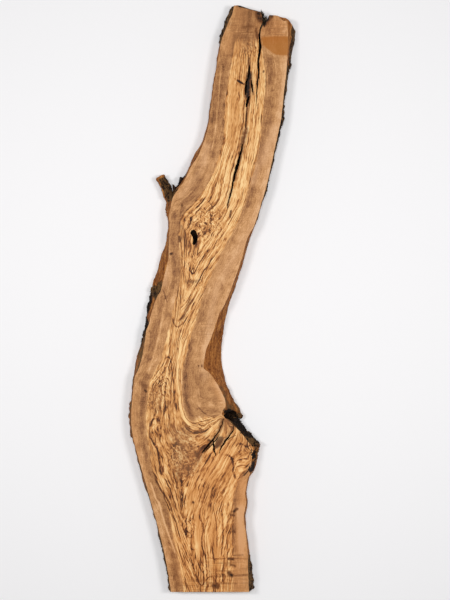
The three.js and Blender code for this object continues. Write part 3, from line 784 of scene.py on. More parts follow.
def relief(points, size, seed):
    """Smooth random relief from -1 to 1 with lumps of the given size, one per axis if need be"""
    scaled = np.asarray(points, float) / np.asarray(size, float)
    corner = np.floor(scaled).astype(np.int64)
    part = scaled - corner
    part = part * part * (3 - 2 * part)
    total = np.zeros(len(scaled))
    for dx, dy, dz in product((0, 1), repeat=3):
        share = (
            np.where(dx, part[:, 0], 1 - part[:, 0])
            * np.where(dy, part[:, 1], 1 - part[:, 1])
            * np.where(dz, part[:, 2], 1 - part[:, 2])
        )
        total += share * lattice(corner[:, 0] + dx, corner[:, 1] + dy, corner[:, 2] + dz, seed)
    return 2 * total - 1


def plates(points, size, seed):
    """Depth of the furrows between bark plates: 0 in a furrow, rising to about 1 on a plate"""
    scaled = np.asarray(points, float) / np.asarray(size, float)
    corner = np.floor(scaled).astype(np.int64)
    gaps = []
    for step in product((-1, 0, 1), repeat=3):
        x, y, z = (corner + step).T
        middle = [x + lattice(x, y, z, seed), y + lattice(x, y, z, seed + 1), z + lattice(x, y, z, seed + 2)]
        gaps.append(np.linalg.norm(scaled - np.stack(middle, -1), axis=1))
    gaps = np.sort(np.array(gaps), axis=0)
    return np.clip((gaps[1] - gaps[0]) * 2.2, 0, 1)


def smooth_step(low, high, value):
    """Eases from 0 at the low value to 1 at the high one"""
    part = np.clip((value - low) / (high - low), 0, 1)
    return part * part * (3 - 2 * part)


def edge_line(points, y):
    """Smooth line through (y, x) points, read as x at each y"""
    points = np.array(points, float)
    ys, xs = points[:, 0], points[:, 1]
    before = np.maximum(np.arange(len(ys)) - 1, 0)
    after = np.minimum(np.arange(len(ys)) + 1, len(ys) - 1)
    slopes = (xs[after] - xs[before]) / (ys[after] - ys[before])
    i = np.clip(np.searchsorted(ys, y, side="right") - 1, 0, len(ys) - 2)
    span = ys[i + 1] - ys[i]
    t = (y - ys[i]) / span
    rise = t * t * (3 - 2 * t)
    bend = t * (1 - t) * ((1 - t) * slopes[i] - t * slopes[i + 1]) * span
    return xs[i] + (xs[i + 1] - xs[i]) * rise + bend


def bark_held(y, height, side):
    """1 where bark is still on a natural edge"""
    held = np.zeros(np.broadcast(y, height).shape)
    ragged = 9 * np.sin(y / 7) * height
    for patch_side, start, end, low, high in BARK_PATCHES:
        if patch_side == side:
            here = (y > start + ragged) & (y < end + ragged) & (height >= low) & (height <= high)
            held = np.maximum(held, here)
    return held


def wane_x(y, height, side):
    """Place across the plank of its natural edge, at a height given as a share of the thickness"""
    show, back = (edge_line(points, y) for points in EDGES[side])
    bulge = 1 - height ** WANE_CURVE
    fade = 4 * height * (1 - height)
    swelling = (
        1.3 * np.sin(y / 11 + 4 * height + side)
        + 1.1 * np.sin(y / 27 - 3 * height + 2 * side)
        + 0.9 * np.sin(y / 6.3 + 9 * height * side)
    )
    # Fibres, dents and the furrows of held bark lie on the swelling, and the arris is a little ragged
    held = bark_held(y, height, side)
    place = np.stack(np.broadcast_arrays(np.full_like(y, 40.0 * side), y, height * THICKNESS), -1)
    flat = place.reshape(-1, 3)
    fibres, dents, furrows, arris = (
        values.reshape(place.shape[:-1])
        for values in (
            relief(flat, (9, 34, 4.2), 3),
            relief(flat, (20, 17, 15), 4),
            plates(flat, (30, 17, 9), 5),
            0.45 * relief(flat * (1, 1, 0), (50, 6, 50), 6),
        )
    )
    surface = swelling + 0.7 * fibres + 0.9 * dents + held * (BARK_THICKNESS * furrows)
    return show + (back - show) * bulge + side * (fade * surface + (1 - fade) * arris)


def in_scene(name, data):
    """Puts a mesh, light or camera into the scene as an object"""
    made = bpy.data.objects.new(name, data)
    bpy.context.scene.collection.objects.link(made)
    return made


def mesh_object(name, points, faces, *materials):
    """A mesh from points in the plank's millimetres"""
    mesh = bpy.data.meshes.new(name)
    mesh.from_pydata([tuple(p) for p in in_frame(points)], [], [tuple(f) for f in faces])
    mesh.update()
    for material in materials:
        mesh.materials.append(material)
    return in_scene(name, mesh)


def tube(name, rings, *materials):
    """Closed mesh from rings of points, each end closed by a flat face"""
    rings = np.asarray(rings, float)
    count, around = rings.shape[:2]
    i, j = np.meshgrid(np.arange(count - 1), np.arange(around), indexing="ij")
    after = (j + 1) % around
    quads = np.stack(
        [i * around + j, i * around + after, (i + 1) * around + after, (i + 1) * around + j], -1
    ).reshape(-1, 4)
    caps = [list(range(around))[::-1], list(range((count - 1) * around, count * around))]
    made = mesh_object(name, rings.reshape(-1, 3), [*quads.tolist(), *caps], *materials)
    outwards(made)
    return made


def outwards(made):
    """Turns all faces of a closed mesh outwards"""
    bm = bmesh.new()
    bm.from_mesh(made.data)
    bmesh.ops.recalc_face_normals(bm, faces=bm.faces)
    bm.to_mesh(made.data)
    bm.free()


def board(materials):
    """The sawn board before its cracks: cross-sections from foot to end, flat on both sawn faces"""
    y = np.linspace(0, LENGTH, STATIONS + 1)[:, None]
    show_share = np.linspace(0, 1, SHOW_COLUMNS + 1)[None, :]
    back_share = np.linspace(1, 0, BACK_COLUMNS + 1)[None, :]
    down = 1 - np.arange(1, WANE_ROWS)[None, :] / WANE_ROWS
    up = down[:, ::-1]

    def across(share, height):
        left = wane_x(y, np.full_like(share[:, :1], height), -1)
        right = wane_x(y, np.full_like(share[:, :1], height), 1)
        return left + (right - left) * share

    x = np.hstack([
        across(show_share, 1.0),
        wane_x(y + 0 * down, down + 0 * y, 1),
        across(back_share, 0.0),
        wane_x(y + 0 * up, up + 0 * y, -1),
    ])
    height = np.hstack([np.ones_like(show_share), down, np.zeros_like(back_share), up])
    rings = np.stack(np.broadcast_arrays(x, y, height * THICKNESS), -1)
    made = tube("olive_plank", rings, *materials)
    back_start = SHOW_COLUMNS + WANE_ROWS
    kinds = np.full(x.shape[1], BARKED)
    kinds[:SHOW_COLUMNS] = SANDED
    kinds[back_start:back_start + BACK_COLUMNS] = SANDED
    slots = [*np.tile(kinds, STATIONS), CROSSCUT, CROSSCUT]
    made.data.polygons.foreach_set("material_index", np.asarray(slots, np.int32))
    return made


def even_steps(points, step, closed):
    """Points at even steps along a line of any number of columns, whose first two are its way"""
    points = np.asarray(points, float)
    if closed:
        points = np.vstack([points, points[:1]])
    run = np.concatenate([[0], np.cumsum(np.linalg.norm(np.diff(points[:, :2], axis=0), axis=1))])
    count = max(2, int(round(run[-1] / step)))
    at = np.linspace(0, run[-1], count + 1)
    even = np.stack([np.interp(at, run, column) for column in points.T], -1)
    return even[:-1] if closed else even


def prism(name, outline, low, levels, material, seed, jag, reshape=None):
    """A block with rough walls over an outline, from a height up past the show face"""
    outline = even_steps(outline, WALL_STEP, True)
    rings = []
    for z in np.linspace(low, THICKNESS + OVERSHOOT, levels + 1):
        ring = np.column_stack([outline, np.full(len(outline), z)])
        rough = [relief(ring, (7, 7, 9), seed + k) + 0.6 * relief(ring, 3, seed + k + 5) for k in (0, 1)]
        ring[:, :2] += jag * np.stack(rough, -1)
        rings.append(reshape(ring) if reshape else ring)
    return tube(name, rings, material)


def crack(name, route, depth, lean, material, seed):
    """A wedge that opens from a narrow floor to its mouth, and leans sideways as it goes down"""
    route = even_steps(route, WALL_STEP, False)
    way = np.gradient(route[:, :2], axis=0)
    way /= np.linalg.norm(way, axis=1)[:, None]
    sideways = np.stack([-way[:, 1], way[:, 0]], -1)
    deepest = THICKNESS - depth
    rings = []
    for z in np.linspace(deepest, THICKNESS + CRACK_OVERSHOOT, CRACK_LEVELS + 1):
        share = (z - deepest) / depth
        here = np.column_stack([route[:, :2], np.full(len(route), z)])
        wander = CRACK_WANDER * relief(here, (9, 9, 12), seed)
        lips = []
        for side in (-1, 1):
            rough = 1 + 0.35 * relief(here + (0, 0, 40 * side), (5, 5, 8), seed + 1)
            half = route[:, 2] / 2 * (CRACK_FLOOR_SHARE + (1 - CRACK_FLOOR_SHARE) * share) * rough
            lips.append(route[:, :2] + sideways * (side * half + wander)[:, None])
        ring = np.vstack([lips[0], lips[1][::-1]])
        ring[:, 0] += lean * (1 - share)
        rings.append(np.column_stack([ring, np.full(len(ring), z)]))
    return tube(name, rings, material)


def lump(name, centre, half, wave, material, seed):
    """A rough rounded lump, also used as the shape of a hollow"""
    bm = bmesh.new()
    bmesh.ops.create_icosphere(bm, subdivisions=LUMP_FINENESS, radius=1.0)
    ball = np.array([v.co for v in bm.verts])
    rough = np.sin(5 * ball[:, 0] + 2 * ball[:, 2]) * np.cos(6 * ball[:, 1] - 3 * ball[:, 2])
    grit = relief(ball * half, 6, seed) + 0.5 * relief(ball * half, 2.8, seed + 1)
    ball = ball * (1 + wave * rough + 0.07 * grit)[:, None]
    points = np.asarray(centre, float) + ball * half
    faces = [[v.index for v in f.verts] for f in bm.faces]
    bm.free()
    made = mesh_object(name, points, faces, material)
    outwards(made)
    return made


def curve_through(points, count):
    """Smooth curve through points, with its direction"""
    points = np.asarray(points, float)
    ends = np.vstack([2 * points[0] - points[1], points, 2 * points[-1] - points[-2]])
    at = np.linspace(0, len(points) - 1 - 1e-9, count)
    i = at.astype(int)
    t = (at - i)[:, None]
    a, b, c, d = (ends[i + k] for k in range(4))
    bend = 2 * a - 5 * b + 4 * c - d
    twist = 3 * b - a - 3 * c + d
    place = 0.5 * (2 * b + (c - a) * t + bend * t**2 + twist * t**3)
    way = 0.5 * ((c - a) + 2 * bend * t + 3 * twist * t**2)
    return place, way / np.linalg.norm(way, axis=1)[:, None]


def limb(name, route, radii, material, seed, rough):
    """A tapering limb along a curved route, furrowed with bark and broken off at its tip"""
    middle, way = curve_through(route, LIMB_RINGS)
    sideways = np.cross(way, (0, 0, 1))
    sideways /= np.linalg.norm(sideways, axis=1)[:, None]
    upwards = np.cross(sideways, way)
    turn = np.linspace(0, 2 * math.pi, LIMB_SIDES, endpoint=False)
    rings = []
    for k in range(LIMB_RINGS):
        along = k / (LIMB_RINGS - 1)
        furrow = 1 + 0.09 * np.sin(3 * turn + 5 * along) + 0.05 * np.sin(31 * along + 2 * turn)
        radius = (radii[0] + (radii[1] - radii[0]) * along) * furrow
        out = np.outer(np.sin(turn), sideways[k]) + np.outer(np.cos(turn), upwards[k])
        ring = middle[k] + out * radius[:, None]
        bark = plates(ring, (9, 14, 9), seed) - 0.5 + 0.6 * relief(ring, 3.0, seed + 4)
        ring += out * (rough * bark)[:, None]
        if k == LIMB_RINGS - 1:
            ring += way[k] * (1.6 * relief(ring, 3.5, seed + 7))[:, None]
        rings.append(ring)
    return tube(name, rings, material)


def cut_and_join(body, cutters, growths):
    """Joins the growths to the body, cuts the cutters out of it, and keeps the result as a plain mesh"""
    for tools, operation in ((growths, "UNION"), (cutters, "DIFFERENCE")):
        for tool in tools:
            modifier = body.modifiers.new(tool.name, "BOOLEAN")
            modifier.object = tool
            modifier.operation = operation
            modifier.solver = "MANIFOLD"
            modifier.material_mode = "TRANSFER"
    graph = bpy.context.evaluated_depsgraph_get()
    finished = bpy.data.meshes.new_from_object(body.evaluated_get(graph))
    body.modifiers.clear()
    body.data = finished
    for tool in [*cutters, *growths]:
        bpy.data.objects.remove(tool)


# Growth, heart and stain fields over the show face


def distance_to(x, y, way):
    """Distance from each point to a line of straight runs"""
    way = np.asarray(way, float)
    nearest = np.full(x.shape, 1e9)
    for (x0, y0), (x1, y1) in zip(way[:-1], way[1:]):
        dx, dy = x1 - x0, y1 - y0
        t = np.clip(((x - x0) * dx + (y - y0) * dy) / max(dx * dx + dy * dy, 1e-9), 0, 1)
        nearest = np.minimum(nearest, np.hypot(x - x0 - t * dx, y - y0 - t * dy))
    return nearest


def inside(x, y, outline):
    """True for the points inside a closed outline"""
    outline = np.asarray(outline, float)
    crossings = np.zeros(x.shape, int)
    for (x0, y0), (x1, y1) in zip(outline, np.roll(outline, -1, axis=0)):
        if y0 != y1:
            spans = (y0 > y) != (y1 > y)
            crossings += spans & (x < x0 + (y - y0) * (x1 - x0) / (y1 - y0))
    return crossings % 2 == 1


class Field:
    """Values on a square lattice over the plank, read smoothly at any place"""

    low = np.array([-252.0, -12.0])
    size = np.array([504.0, 1632.0])

    def __init__(self, step):
        self.step = step
        columns, rows = (self.size / step).astype(int) + 1
        self.x, self.y = np.meshgrid(
            self.low[0] + step * np.arange(columns), self.low[1] + step * np.arange(rows)
        )
        self.values = np.zeros(self.x.shape)

    def read(self, x, y):
        rows, columns = self.values.shape
        u = np.clip((x - self.low[0]) / self.step, 0, columns - 1.001)
        v = np.clip((y - self.low[1]) / self.step, 0, rows - 1.001)
        i, j = u.astype(int), v.astype(int)
        s, t = u - i, v - j
        low = self.values[j, i] * (1 - s) + self.values[j, i + 1] * s
        high = self.values[j + 1, i] * (1 - s) + self.values[j + 1, i + 1] * s
        return low * (1 - t) + high * t


def depth_inside(x, y, outline):
    """Distance to a closed outline, above 0 inside it"""
    gap = distance_to(x, y, np.vstack([outline, outline[:1]]))
    return np.where(inside(x, y, outline), gap, -gap)


HEART_OUTLINE = on_plank([*HEART_LEFT, *HEART_TOP, *HEART_RIGHT, *HEART_BURR, *HEART_FOOT])


def neighbour_mean(values):
    """Mean of the four neighbours of each value on a lattice"""
    edged = np.pad(values, 1, mode="edge")
    return (edged[:-2, 1:-1] + edged[2:, 1:-1] + edged[1:-1, :-2] + edged[1:-1, 2:]) / 4


def growth_field():
    """Lines of growth, evenly spread between those that were read, like the rings of a crooked stem"""
    field = None
    for step in FIELD_STEPS:
        finer = Field(step)
        if field is not None:
            finer.values = field.read(finer.x, finer.y)
        depth = depth_inside(finer.x, finer.y, HEART_OUTLINE)
        left, right, foot = (
            distance_to(finer.x, finer.y, on_plank(border))
            for border in (HEART_LEFT, HEART_RIGHT, HEART_FOOT[:-1])
        )
        outer = np.where(right < foot, HEART_GROWTH + right, FOOT_GROWTH + foot)
        outer = np.where(left < np.minimum(right, foot), -HEART_GROWTH - left, outer)
        total = np.zeros(finer.x.shape)
        hits = np.zeros(finer.x.shape)
        for growth, way in GROWTH_LINES:
            dots = even_steps(on_plank(way), step / 2, False)
            i, j = np.round((dots - finer.low) / step).astype(int).T
            kept = (i >= 0) & (i < finer.x.shape[1]) & (j >= 0) & (j < finer.x.shape[0])
            np.add.at(total, (j[kept], i[kept]), growth)
            np.add.at(hits, (j[kept], i[kept]), 1)
        value = np.where(hits > 0, total / np.maximum(hits, 1), outer)
        fixed = (depth < -1.5 * step) | (hits > 0)
        for _ in range(SETTLING_ROUNDS):
            finer.values = np.where(fixed, value, neighbour_mean(finer.values))
        field = finer
    for _ in range(SMOOTHING_ROUNDS):
        field.values = neighbour_mean(field.values)
    return field


def strokes(x, y, marks):
    """Soft-edged marks laid along lines, the strongest counting at each place"""
    total = np.zeros(x.shape)
    for half, strength, way in marks:
        way = on_plank(way)
        near = (
            (x > way[:, 0].min() - 3 * half) & (x < way[:, 0].max() + 3 * half)
            & (y > way[:, 1].min() - 3 * half) & (y < way[:, 1].max() + 3 * half)
        )
        mark = strength * np.exp(-((distance_to(x[near], y[near], way) / half) ** 2))
        total[near] = np.maximum(total[near], mark)
    return total


def line_marks(x, y, marks):
    """Signed distance to the nearest line as a share of its half width, and that line's strength.
    The sign changes across a line, so it stays crisp between the vertices."""
    reach, far = 14.0, 9.0
    nearest = np.full(x.shape, far)
    gap = np.full(x.shape, 1e9)
    strength = np.zeros(x.shape)
    for half, power, way in marks:
        way = even_steps(on_plank(way), 4.0, False)
        run = len(way) - 1
        for k, ((x0, y0), (x1, y1)) in enumerate(zip(way[:-1], way[1:])):
            close = (np.abs(x - x0) < reach) & (np.abs(y - y0) < reach)
            dx, dy = x1 - x0, y1 - y0
            along = ((x[close] - x0) * dx + (y[close] - y0) * dy) / (dx * dx + dy * dy)
            t = np.clip(along, 0, 1)
            here = np.hypot(x[close] - x0 - t * dx, y[close] - y0 - t * dy)
            side = np.where(dx * (y[close] - y0) - dy * (x[close] - x0) > 0, 1, -1)
            end_fade = min(1.0, 0.25 + 0.3 * min(k, run - 1 - k))
            better = here < gap[close]
            index = np.flatnonzero(close)[better]
            gap[index] = here[better]
            nearest[index] = (side * here)[better] / half
            faded = power * end_fade * (1 - smooth_step(4.0, 8.0, here[better]))
            strength[index] = np.minimum(faded, 1)
    return np.clip(nearest, -far, far), strength


def patch(x, y, outline, softness):
    """1 inside an outline in pixels, fading over its border"""
    return smooth_step(-softness, softness, depth_inside(x, y, on_plank(outline)))


def spots(x, y, marks):
    """Soft oval spots, the strongest counting at each place"""
    total = np.zeros(x.shape)
    for middle, half, strength in marks:
        (cx, cy), (hx, hy) = on_plank(middle), np.array(half) * MM_PER_PIXEL
        away = np.hypot((x - cx) / hx, (y - cy) / hy)
        total = np.maximum(total, strength * (1 - smooth_step(0.55, 1.25, away)))
    return total


def give_attributes(body, growth):
    """Writes what the materials read at each vertex"""
    mesh = body.data
    co = np.zeros(len(mesh.vertices) * 3, np.float32)
    mesh.vertices.foreach_get("co", co)
    place = co.reshape(-1, 3).astype(float) / MM
    x, y, z = place[:, 0] - DATUM_SHIFT[0], place[:, 1] - DATUM_SHIFT[1], place[:, 2]
    show_left, show_right = (
        edge_line(points, np.clip(y, 0, LENGTH)) for points in (SHOW_LEFT, SHOW_RIGHT)
    )
    side = np.where(x > (show_left + show_right) / 2, 1, -1)

    # Bark and rot along the natural edges, with ragged borders
    bark, rot = np.zeros(len(x)), np.zeros(len(x))
    shift = y + 16 * relief(place, 20, 21) + 9 * relief(place, 8, 22)
    for one, states in EDGE_STATE.items():
        ys, barks, rots = np.array(states, float).T
        here = side == one
        bark[here] = np.interp(shift[here], ys, barks)
        rot[here] = np.interp(shift[here], ys, rots)
    ragged = 16 * relief(place, (12, 18, 12), 25) + 10 * relief(place, 5, 26)
    at = y + ragged
    beyond = np.where(side < 0, show_left - x, x - show_right)
    for one, start, end, top in WORN_ARRISES:
        along = smooth_step(start - 12, start + 12, at) * (1 - smooth_step(end - 12, end + 12, at))
        near = (side == one) * (1 - smooth_step(14, 22, beyond))
        kept = 1 - near * along * smooth_step(top - 3, top + 3, z + 0.45 * ragged)
        bark *= kept
        rot *= kept
    flake, _ = curve_through(BARK_FLAKE[0], 12)
    charred = 1 - smooth_step(7, 10, np.hypot(distance_to(x, y, flake[:, :2]), z - flake[0, 2]))
    bare = 1 - np.minimum(strokes(x, y, BARE_STRIPS), 1)
    bark, rot = np.maximum(bark, charred) * bare, np.maximum(rot, charred) * bare
    high = smooth_step(-0.5, 0.4, relief(place, (12, 16, 12), 24) + (z - 16) / 40)
    rot = np.where(side > 0, rot * high, rot)
    rotted = np.max([patch(x, y, outline, 8.0) for outline in ROTTED], axis=0)
    rotted *= smooth_step(14, 26, z + 12 * relief(place, (9, 9, 14), 23))

    # The figure of the wood and the marks on the sanded face
    line, line_strength = line_marks(x, y, DARK_LINES)
    grown = growth.read(x, y)
    on_face = smooth_step(*FACE_FADE, z)
    rise, aslant = np.zeros(len(x)), np.zeros(len(x))
    for start, end, slope in CATHEDRALS:
        rise += slope * np.mean([np.clip(y + step, start, end) for step in CATHEDRAL_BLUR], axis=0)
        aslant += smooth_step(start - 30, start + 10, y) * (1 - smooth_step(end - 10, end + 30, y))
    values = {
        "growth": grown,
        "figure": np.abs(grown) - rise,
        "aslant": aslant,
        "pith_side": np.clip(grown / 30, -1, 1),
        "heart": np.clip(depth_inside(x, y, HEART_OUTLINE), -60, 60),
        "burl": spots(x, y, BURL),
        "dull": spots(x, y, DULL),
        "calm": spots(x, y, CALM),
        "ruddy": spots(x, y, RUDDY),
        "stain": strokes(x, y, STAINS) * on_face,
        "line": line,
        "line_strength": line_strength * on_face,
        "pale": strokes(x, y, PALE_STREAKS),
        "warm": strokes(x, y, WARM_BANDS),
        "dark": strokes(x, y, DARK_BANDS),
        "light": strokes(x, y, LIGHT_BANDS),
        "brown_patch": np.max([patch(x, y, outline, 1.8) for outline in BROWN_PATCHES], axis=0),
        "saw_burn": spots(x, y, SAW_BURNS) * on_face,
        "plain_end": smooth_step(*HEART_END, y),
        "patch": patch(x, y, ORANGE_PATCH, 1.6) * on_face,
        "arris": np.minimum(x - show_left, show_right - x),
        "bark": bark,
        "rot": np.maximum(rot, rotted),
        "rotted": rotted,
    }
    for name, value in values.items():
        attribute = mesh.attributes.new(name, "FLOAT", "POINT")
        attribute.data.foreach_set("value", np.asarray(value, np.float32))


def soft_shading(body):
    """Shades the surface smoothly, apart from its sharp edges"""
    bm = bmesh.new()
    bm.from_mesh(body.data)
    limit = math.radians(SHARP_DEGREES)
    for face in bm.faces:
        face.smooth = True
    for edge in bm.edges:
        edge.smooth = edge.calc_face_angle(0.0) < limit
    bm.to_mesh(body.data)
    bm.free()


# Materials


def linear(code):
    """sRGB hex to linear colour"""
    parts = [int(code[k:k + 2], 16) / 255 for k in (1, 3, 5)]
    return [*(c / 12.92 if c <= 0.04045 else ((c + 0.055) / 1.055) ** 2.4 for c in parts), 1.0]


def node(tree, kind, *inputs, sockets=None, out=0, **settings):
    """Adds a node with its settings, sets or links its inputs in order or by name, and gives one output"""
    made = tree.nodes.new(kind if "Node" in kind else "ShaderNode" + kind)
    for name, value in settings.items():
        if name == "stops":
            while len(made.color_ramp.elements) < len(value):
                made.color_ramp.elements.new(1.0)
            for element, (place, code) in zip(made.color_ramp.elements, value):
                element.position = place
                element.color = linear(code)
        else:
            setattr(made, name, value)
    for name, value in {**dict(enumerate(inputs)), **(sockets or {})}.items():
        if isinstance(value, bpy.types.NodeSocket):
            tree.links.new(value, made.inputs[name])
        else:
            made.inputs[name].default_value = value
    return made.outputs[out] if made.outputs else made


def new_material(name, roughness, specular):
    """A material, its node tree, and the sockets of its shader"""
    material = bpy.data.materials.new(name)
    material.use_nodes = True
    tree = material.node_tree
    tree.nodes.clear()
    shader = node(tree, "BsdfPrincipled")
    node(tree, "OutputMaterial", shader)
    surface = shader.node.inputs
    surface["Roughness"].default_value = roughness
    surface["Specular IOR Level"].default_value = specular
    return material, tree, surface


def fibrous(put, sizes, detail, roughness):
    """Noise drawn out to the given sizes in millimetres across, along and up the plank"""
    scaled = put("VectorMath", put("TexCoord", out="Object"), [1000 / size for size in sizes], **TIMES)
    return put("TexNoise", scaled, sockets={"Scale": 1.0, "Detail": detail, "Roughness": roughness})


# Sockets of a colour mix, and settings that nodes share
MIX_SHARE, MIX_FROM, MIX_TO = 0, 6, 7
COLOURS = {"data_type": "RGBA", "out": 2}
TIMES = {"operation": "MULTIPLY"}
EASED = {"interpolation_type": "SMOOTHSTEP"}

# Tones before their layers are added
HEART_TONE = 0.03
SAP_TONE = -0.9

# Olive's growth rings are 1 to 3 mm apart, which is too fine to show, so they are drawn coarser, in mm.
# At the ends they lie round a pith that is this far below the back face.
CLOSE_RING_GAP = 8.4
END_RING_SIZE = 4.0
PITH_BELOW = 45.0

# What the sanded face reads at each vertex
FACE_ATTRIBUTES = (
    "growth", "figure", "aslant", "pith_side", "heart", "burl", "dull", "calm", "ruddy", "stain", "line",
    "line_strength", "pale", "warm", "dark", "light", "patch", "brown_patch", "saw_burn", "arris", "rotted",
    "plain_end",
)


def sanded_olive():
    """Olive, sawn and sanded and lightly oiled: a golden heart with dark wandering veins and pale
    streaks between plain, faintly flecked sapwood, with a low satin gloss. A painted shadow line and a
    painted highlight lie along the right arris at the bulge."""
    material, tree, surface = new_material("sanded_olive", 0.55, 0.16)
    put = partial(node, tree)
    mm = put("VectorMath", put("TexCoord", out="Object"), sockets={"Scale": 1000.0}, operation="SCALE")
    across_mm, along_mm, up_mm = (put("SeparateXYZ", mm, out=k) for k in range(3))
    read = {name: put("Attribute", attribute_name=name, out="Fac") for name in FACE_ATTRIBUTES}

    def cloud(size, detail, offset):
        """Soft noise from 0 to 1 with blotches of a size in millimetres"""
        moved = put("VectorMath", mm, (offset, 2 * offset, 0), operation="ADD")
        return put("TexNoise", moved, sockets={"Scale": 1 / size, "Detail": detail})

    def sway(size, reach, offset):
        """Wandering from side to side, about 0"""
        return put("Math", put("Math", cloud(size, 2.0, offset), 0.5, operation="SUBTRACT"), reach, **TIMES)

    def grain(layers, across, along, detail, rough, offset):
        """Noise drawn out along the growth, with the width and length of its streaks in millimetres"""
        shift = put("Math", read["pith_side"], 0.9, offset, operation="MULTIPLY_ADD")
        vector = put(
            "CombineXYZ",
            put("Math", layers, across, operation="DIVIDE"),
            put("Math", across_mm, 1 / along, shift, operation="MULTIPLY_ADD"),
            put("Math", along_mm, 1 / along, -offset, operation="MULTIPLY_ADD"),
        )
        return put("TexNoise", vector, sockets={"Scale": 1.0, "Detail": detail, "Roughness": rough})

    def fleck(sizes, turn, offset):
        """Short flecks of given width and length in millimetres, turned from the plank's own way"""
        turned = put("Mapping", mm, sockets={"Location": (offset, 0, 0), "Rotation": (0, 0, turn)})
        drawn = put("VectorMath", turned, [1 / size for size in sizes], **TIMES)
        return put("TexNoise", drawn, sockets={"Scale": 1.0, "Detail": 2.0, "Roughness": 0.6})

    def hairline(value, width):
        """A thin line wherever the value passes its middle"""
        gap = put("Math", put("Math", value, 0.5, operation="SUBTRACT"), operation="ABSOLUTE")
        return put("MapRange", gap, 0.0, width, 1.0, 0.0, **EASED)

    def here_and_there(size, low, high, offset):
        """1 in some places and 0 in others, with soft borders"""
        return put("MapRange", cloud(size, 2.0, offset), low, high, **EASED)

    # Single lines, with a slightly unsteady edge; one of them is painted shadow under an arris
    wobble = put("Math", cloud(5, 2.0, 171), 1.6, -0.8, operation="MULTIPLY_ADD")
    gap = put("Math", put("Math", read["line"], wobble, operation="ADD"), operation="ABSOLUTE")
    line = put("Math", put("MapRange", gap, 0.4, 1.4, 1.0, 0.0, **EASED), read["line_strength"], **TIMES)

    # The layers wander by a few millimetres, and curl in the knotty parts
    figure = read["figure"]
    growth = read["growth"]
    lean = put("Math", up_mm, -0.35, **TIMES)
    for shift in (sway(60, 12.0, 11), sway(17, 4.0, 37), sway(7, 1.6, 59), lean):
        figure = put("Math", figure, shift, operation="ADD")
        growth = put("Math", growth, shift, operation="ADD")
    curl = put("Math", sway(19, 17.0, 43), read["burl"], **TIMES)
    figure = put("Math", figure, curl, operation="ADD")

    # The real fibres and pores are about 0.1 mm wide, too fine to show, and are drawn 1.5 to 5 mm wide
    streaks = grain(figure, 4.6, 130.0, 2.0, 0.6, 13.3)
    fibres = grain(figure, 2.7, 34.0, 2.0, 0.65, 17.9)
    dashes = put("MapRange", grain(figure, 3.2, 17.0, 0.5, 0.4, 33.1), 0.57, 0.68, **EASED)
    pores = put("MapRange", grain(figure, 1.5, 11.0, 1.0, 0.5, 61.3), 0.5, 0.68, **EASED)
    bright = put("MapRange", grain(figure, 4.4, 150.0, 1.0, 0.4, 45.1), 0.56, 0.68, **EASED)
    veins = hairline(grain(figure, 9.0, 380.0, 1.0, 0.4, 21.9), 0.075)
    veins = put("Math", veins, here_and_there(55, 0.34, 0.5, 63), **TIMES)
    thin_veins = hairline(grain(figure, 5.2, 220.0, 1.0, 0.4, 29.3), 0.09)
    thin_veins = put("Math", thin_veins, here_and_there(33, 0.36, 0.52, 81), **TIMES)
    rings = put("Math", figure, CLOSE_RING_GAP / 2, operation="PINGPONG")
    rings = put("MapRange", rings, 0.2, 1.3, 1.0, 0.0, **EASED)
    close = put("Math", here_and_there(47, 0.48, 0.6, 205), read["aslant"], operation="MAXIMUM")
    rings = put("Math", rings, close, **TIMES)
    rings = put("Math", rings, here_and_there(14, 0.34, 0.56, 233), **TIMES)
    curls = put("Math", cloud(21, 1.5, 251), 44.0, **TIMES)
    curls = put("Math", curls, 3.4, operation="PINGPONG")
    curls = put("MapRange", curls, 0.3, 2.0, 1.0, 0.0, **EASED)
    flecks = put("MapRange", fleck((2.3, 7.5, 7.5), 0.15, 0.0), 0.5, 0.66, **EASED)
    pale_flecks = put("MapRange", fleck((2.6, 9.0, 9.0), -0.5, 40.0), 0.5, 0.68, **EASED)

    # Each layer darkens or lightens the tone by its own weight
    marks = 0.0
    for layer, weight in (
        (dashes, -0.26), (bright, 0.14), (veins, -0.34), (thin_veins, -0.26), (rings, -0.3), (pores, -0.16),
        (put("Math", fibres, 0.5, operation="SUBTRACT"), 1.35),
    ):
        marks = put("Math", layer, weight, marks, operation="MULTIPLY_ADD")
    knots = 0.0
    for layer, weight in ((flecks, -0.42), (pale_flecks, 0.36), (curls, -0.12)):
        knots = put("Math", layer, weight, knots, operation="MULTIPLY_ADD")
    lively = put("Math", 1.0, read["calm"], operation="SUBTRACT")
    tone = put("Math", knots, read["burl"], HEART_TONE, operation="MULTIPLY_ADD")
    tone = put("Math", marks, lively, tone, operation="MULTIPLY_ADD")
    for layer, weight in (
        (grain(figure, 11.0, 300.0, 1.0, 0.5, 7.7), 0.65), (streaks, 0.9), (read["pale"], 0.34),
        (read["dark"], -0.2), (line, -0.62),
    ):
        tone = put("Math", layer, weight, tone, operation="MULTIPLY_ADD")
    heart_colour = put("ValToRGB", tone, stops=[
        (0.0, "#452510"), (0.18, "#7a4723"), (0.36, "#ab6d37"), (0.53, "#cd9051"), (0.72, "#e1a86a"),
        (1.0, "#f4cc90"),
    ])

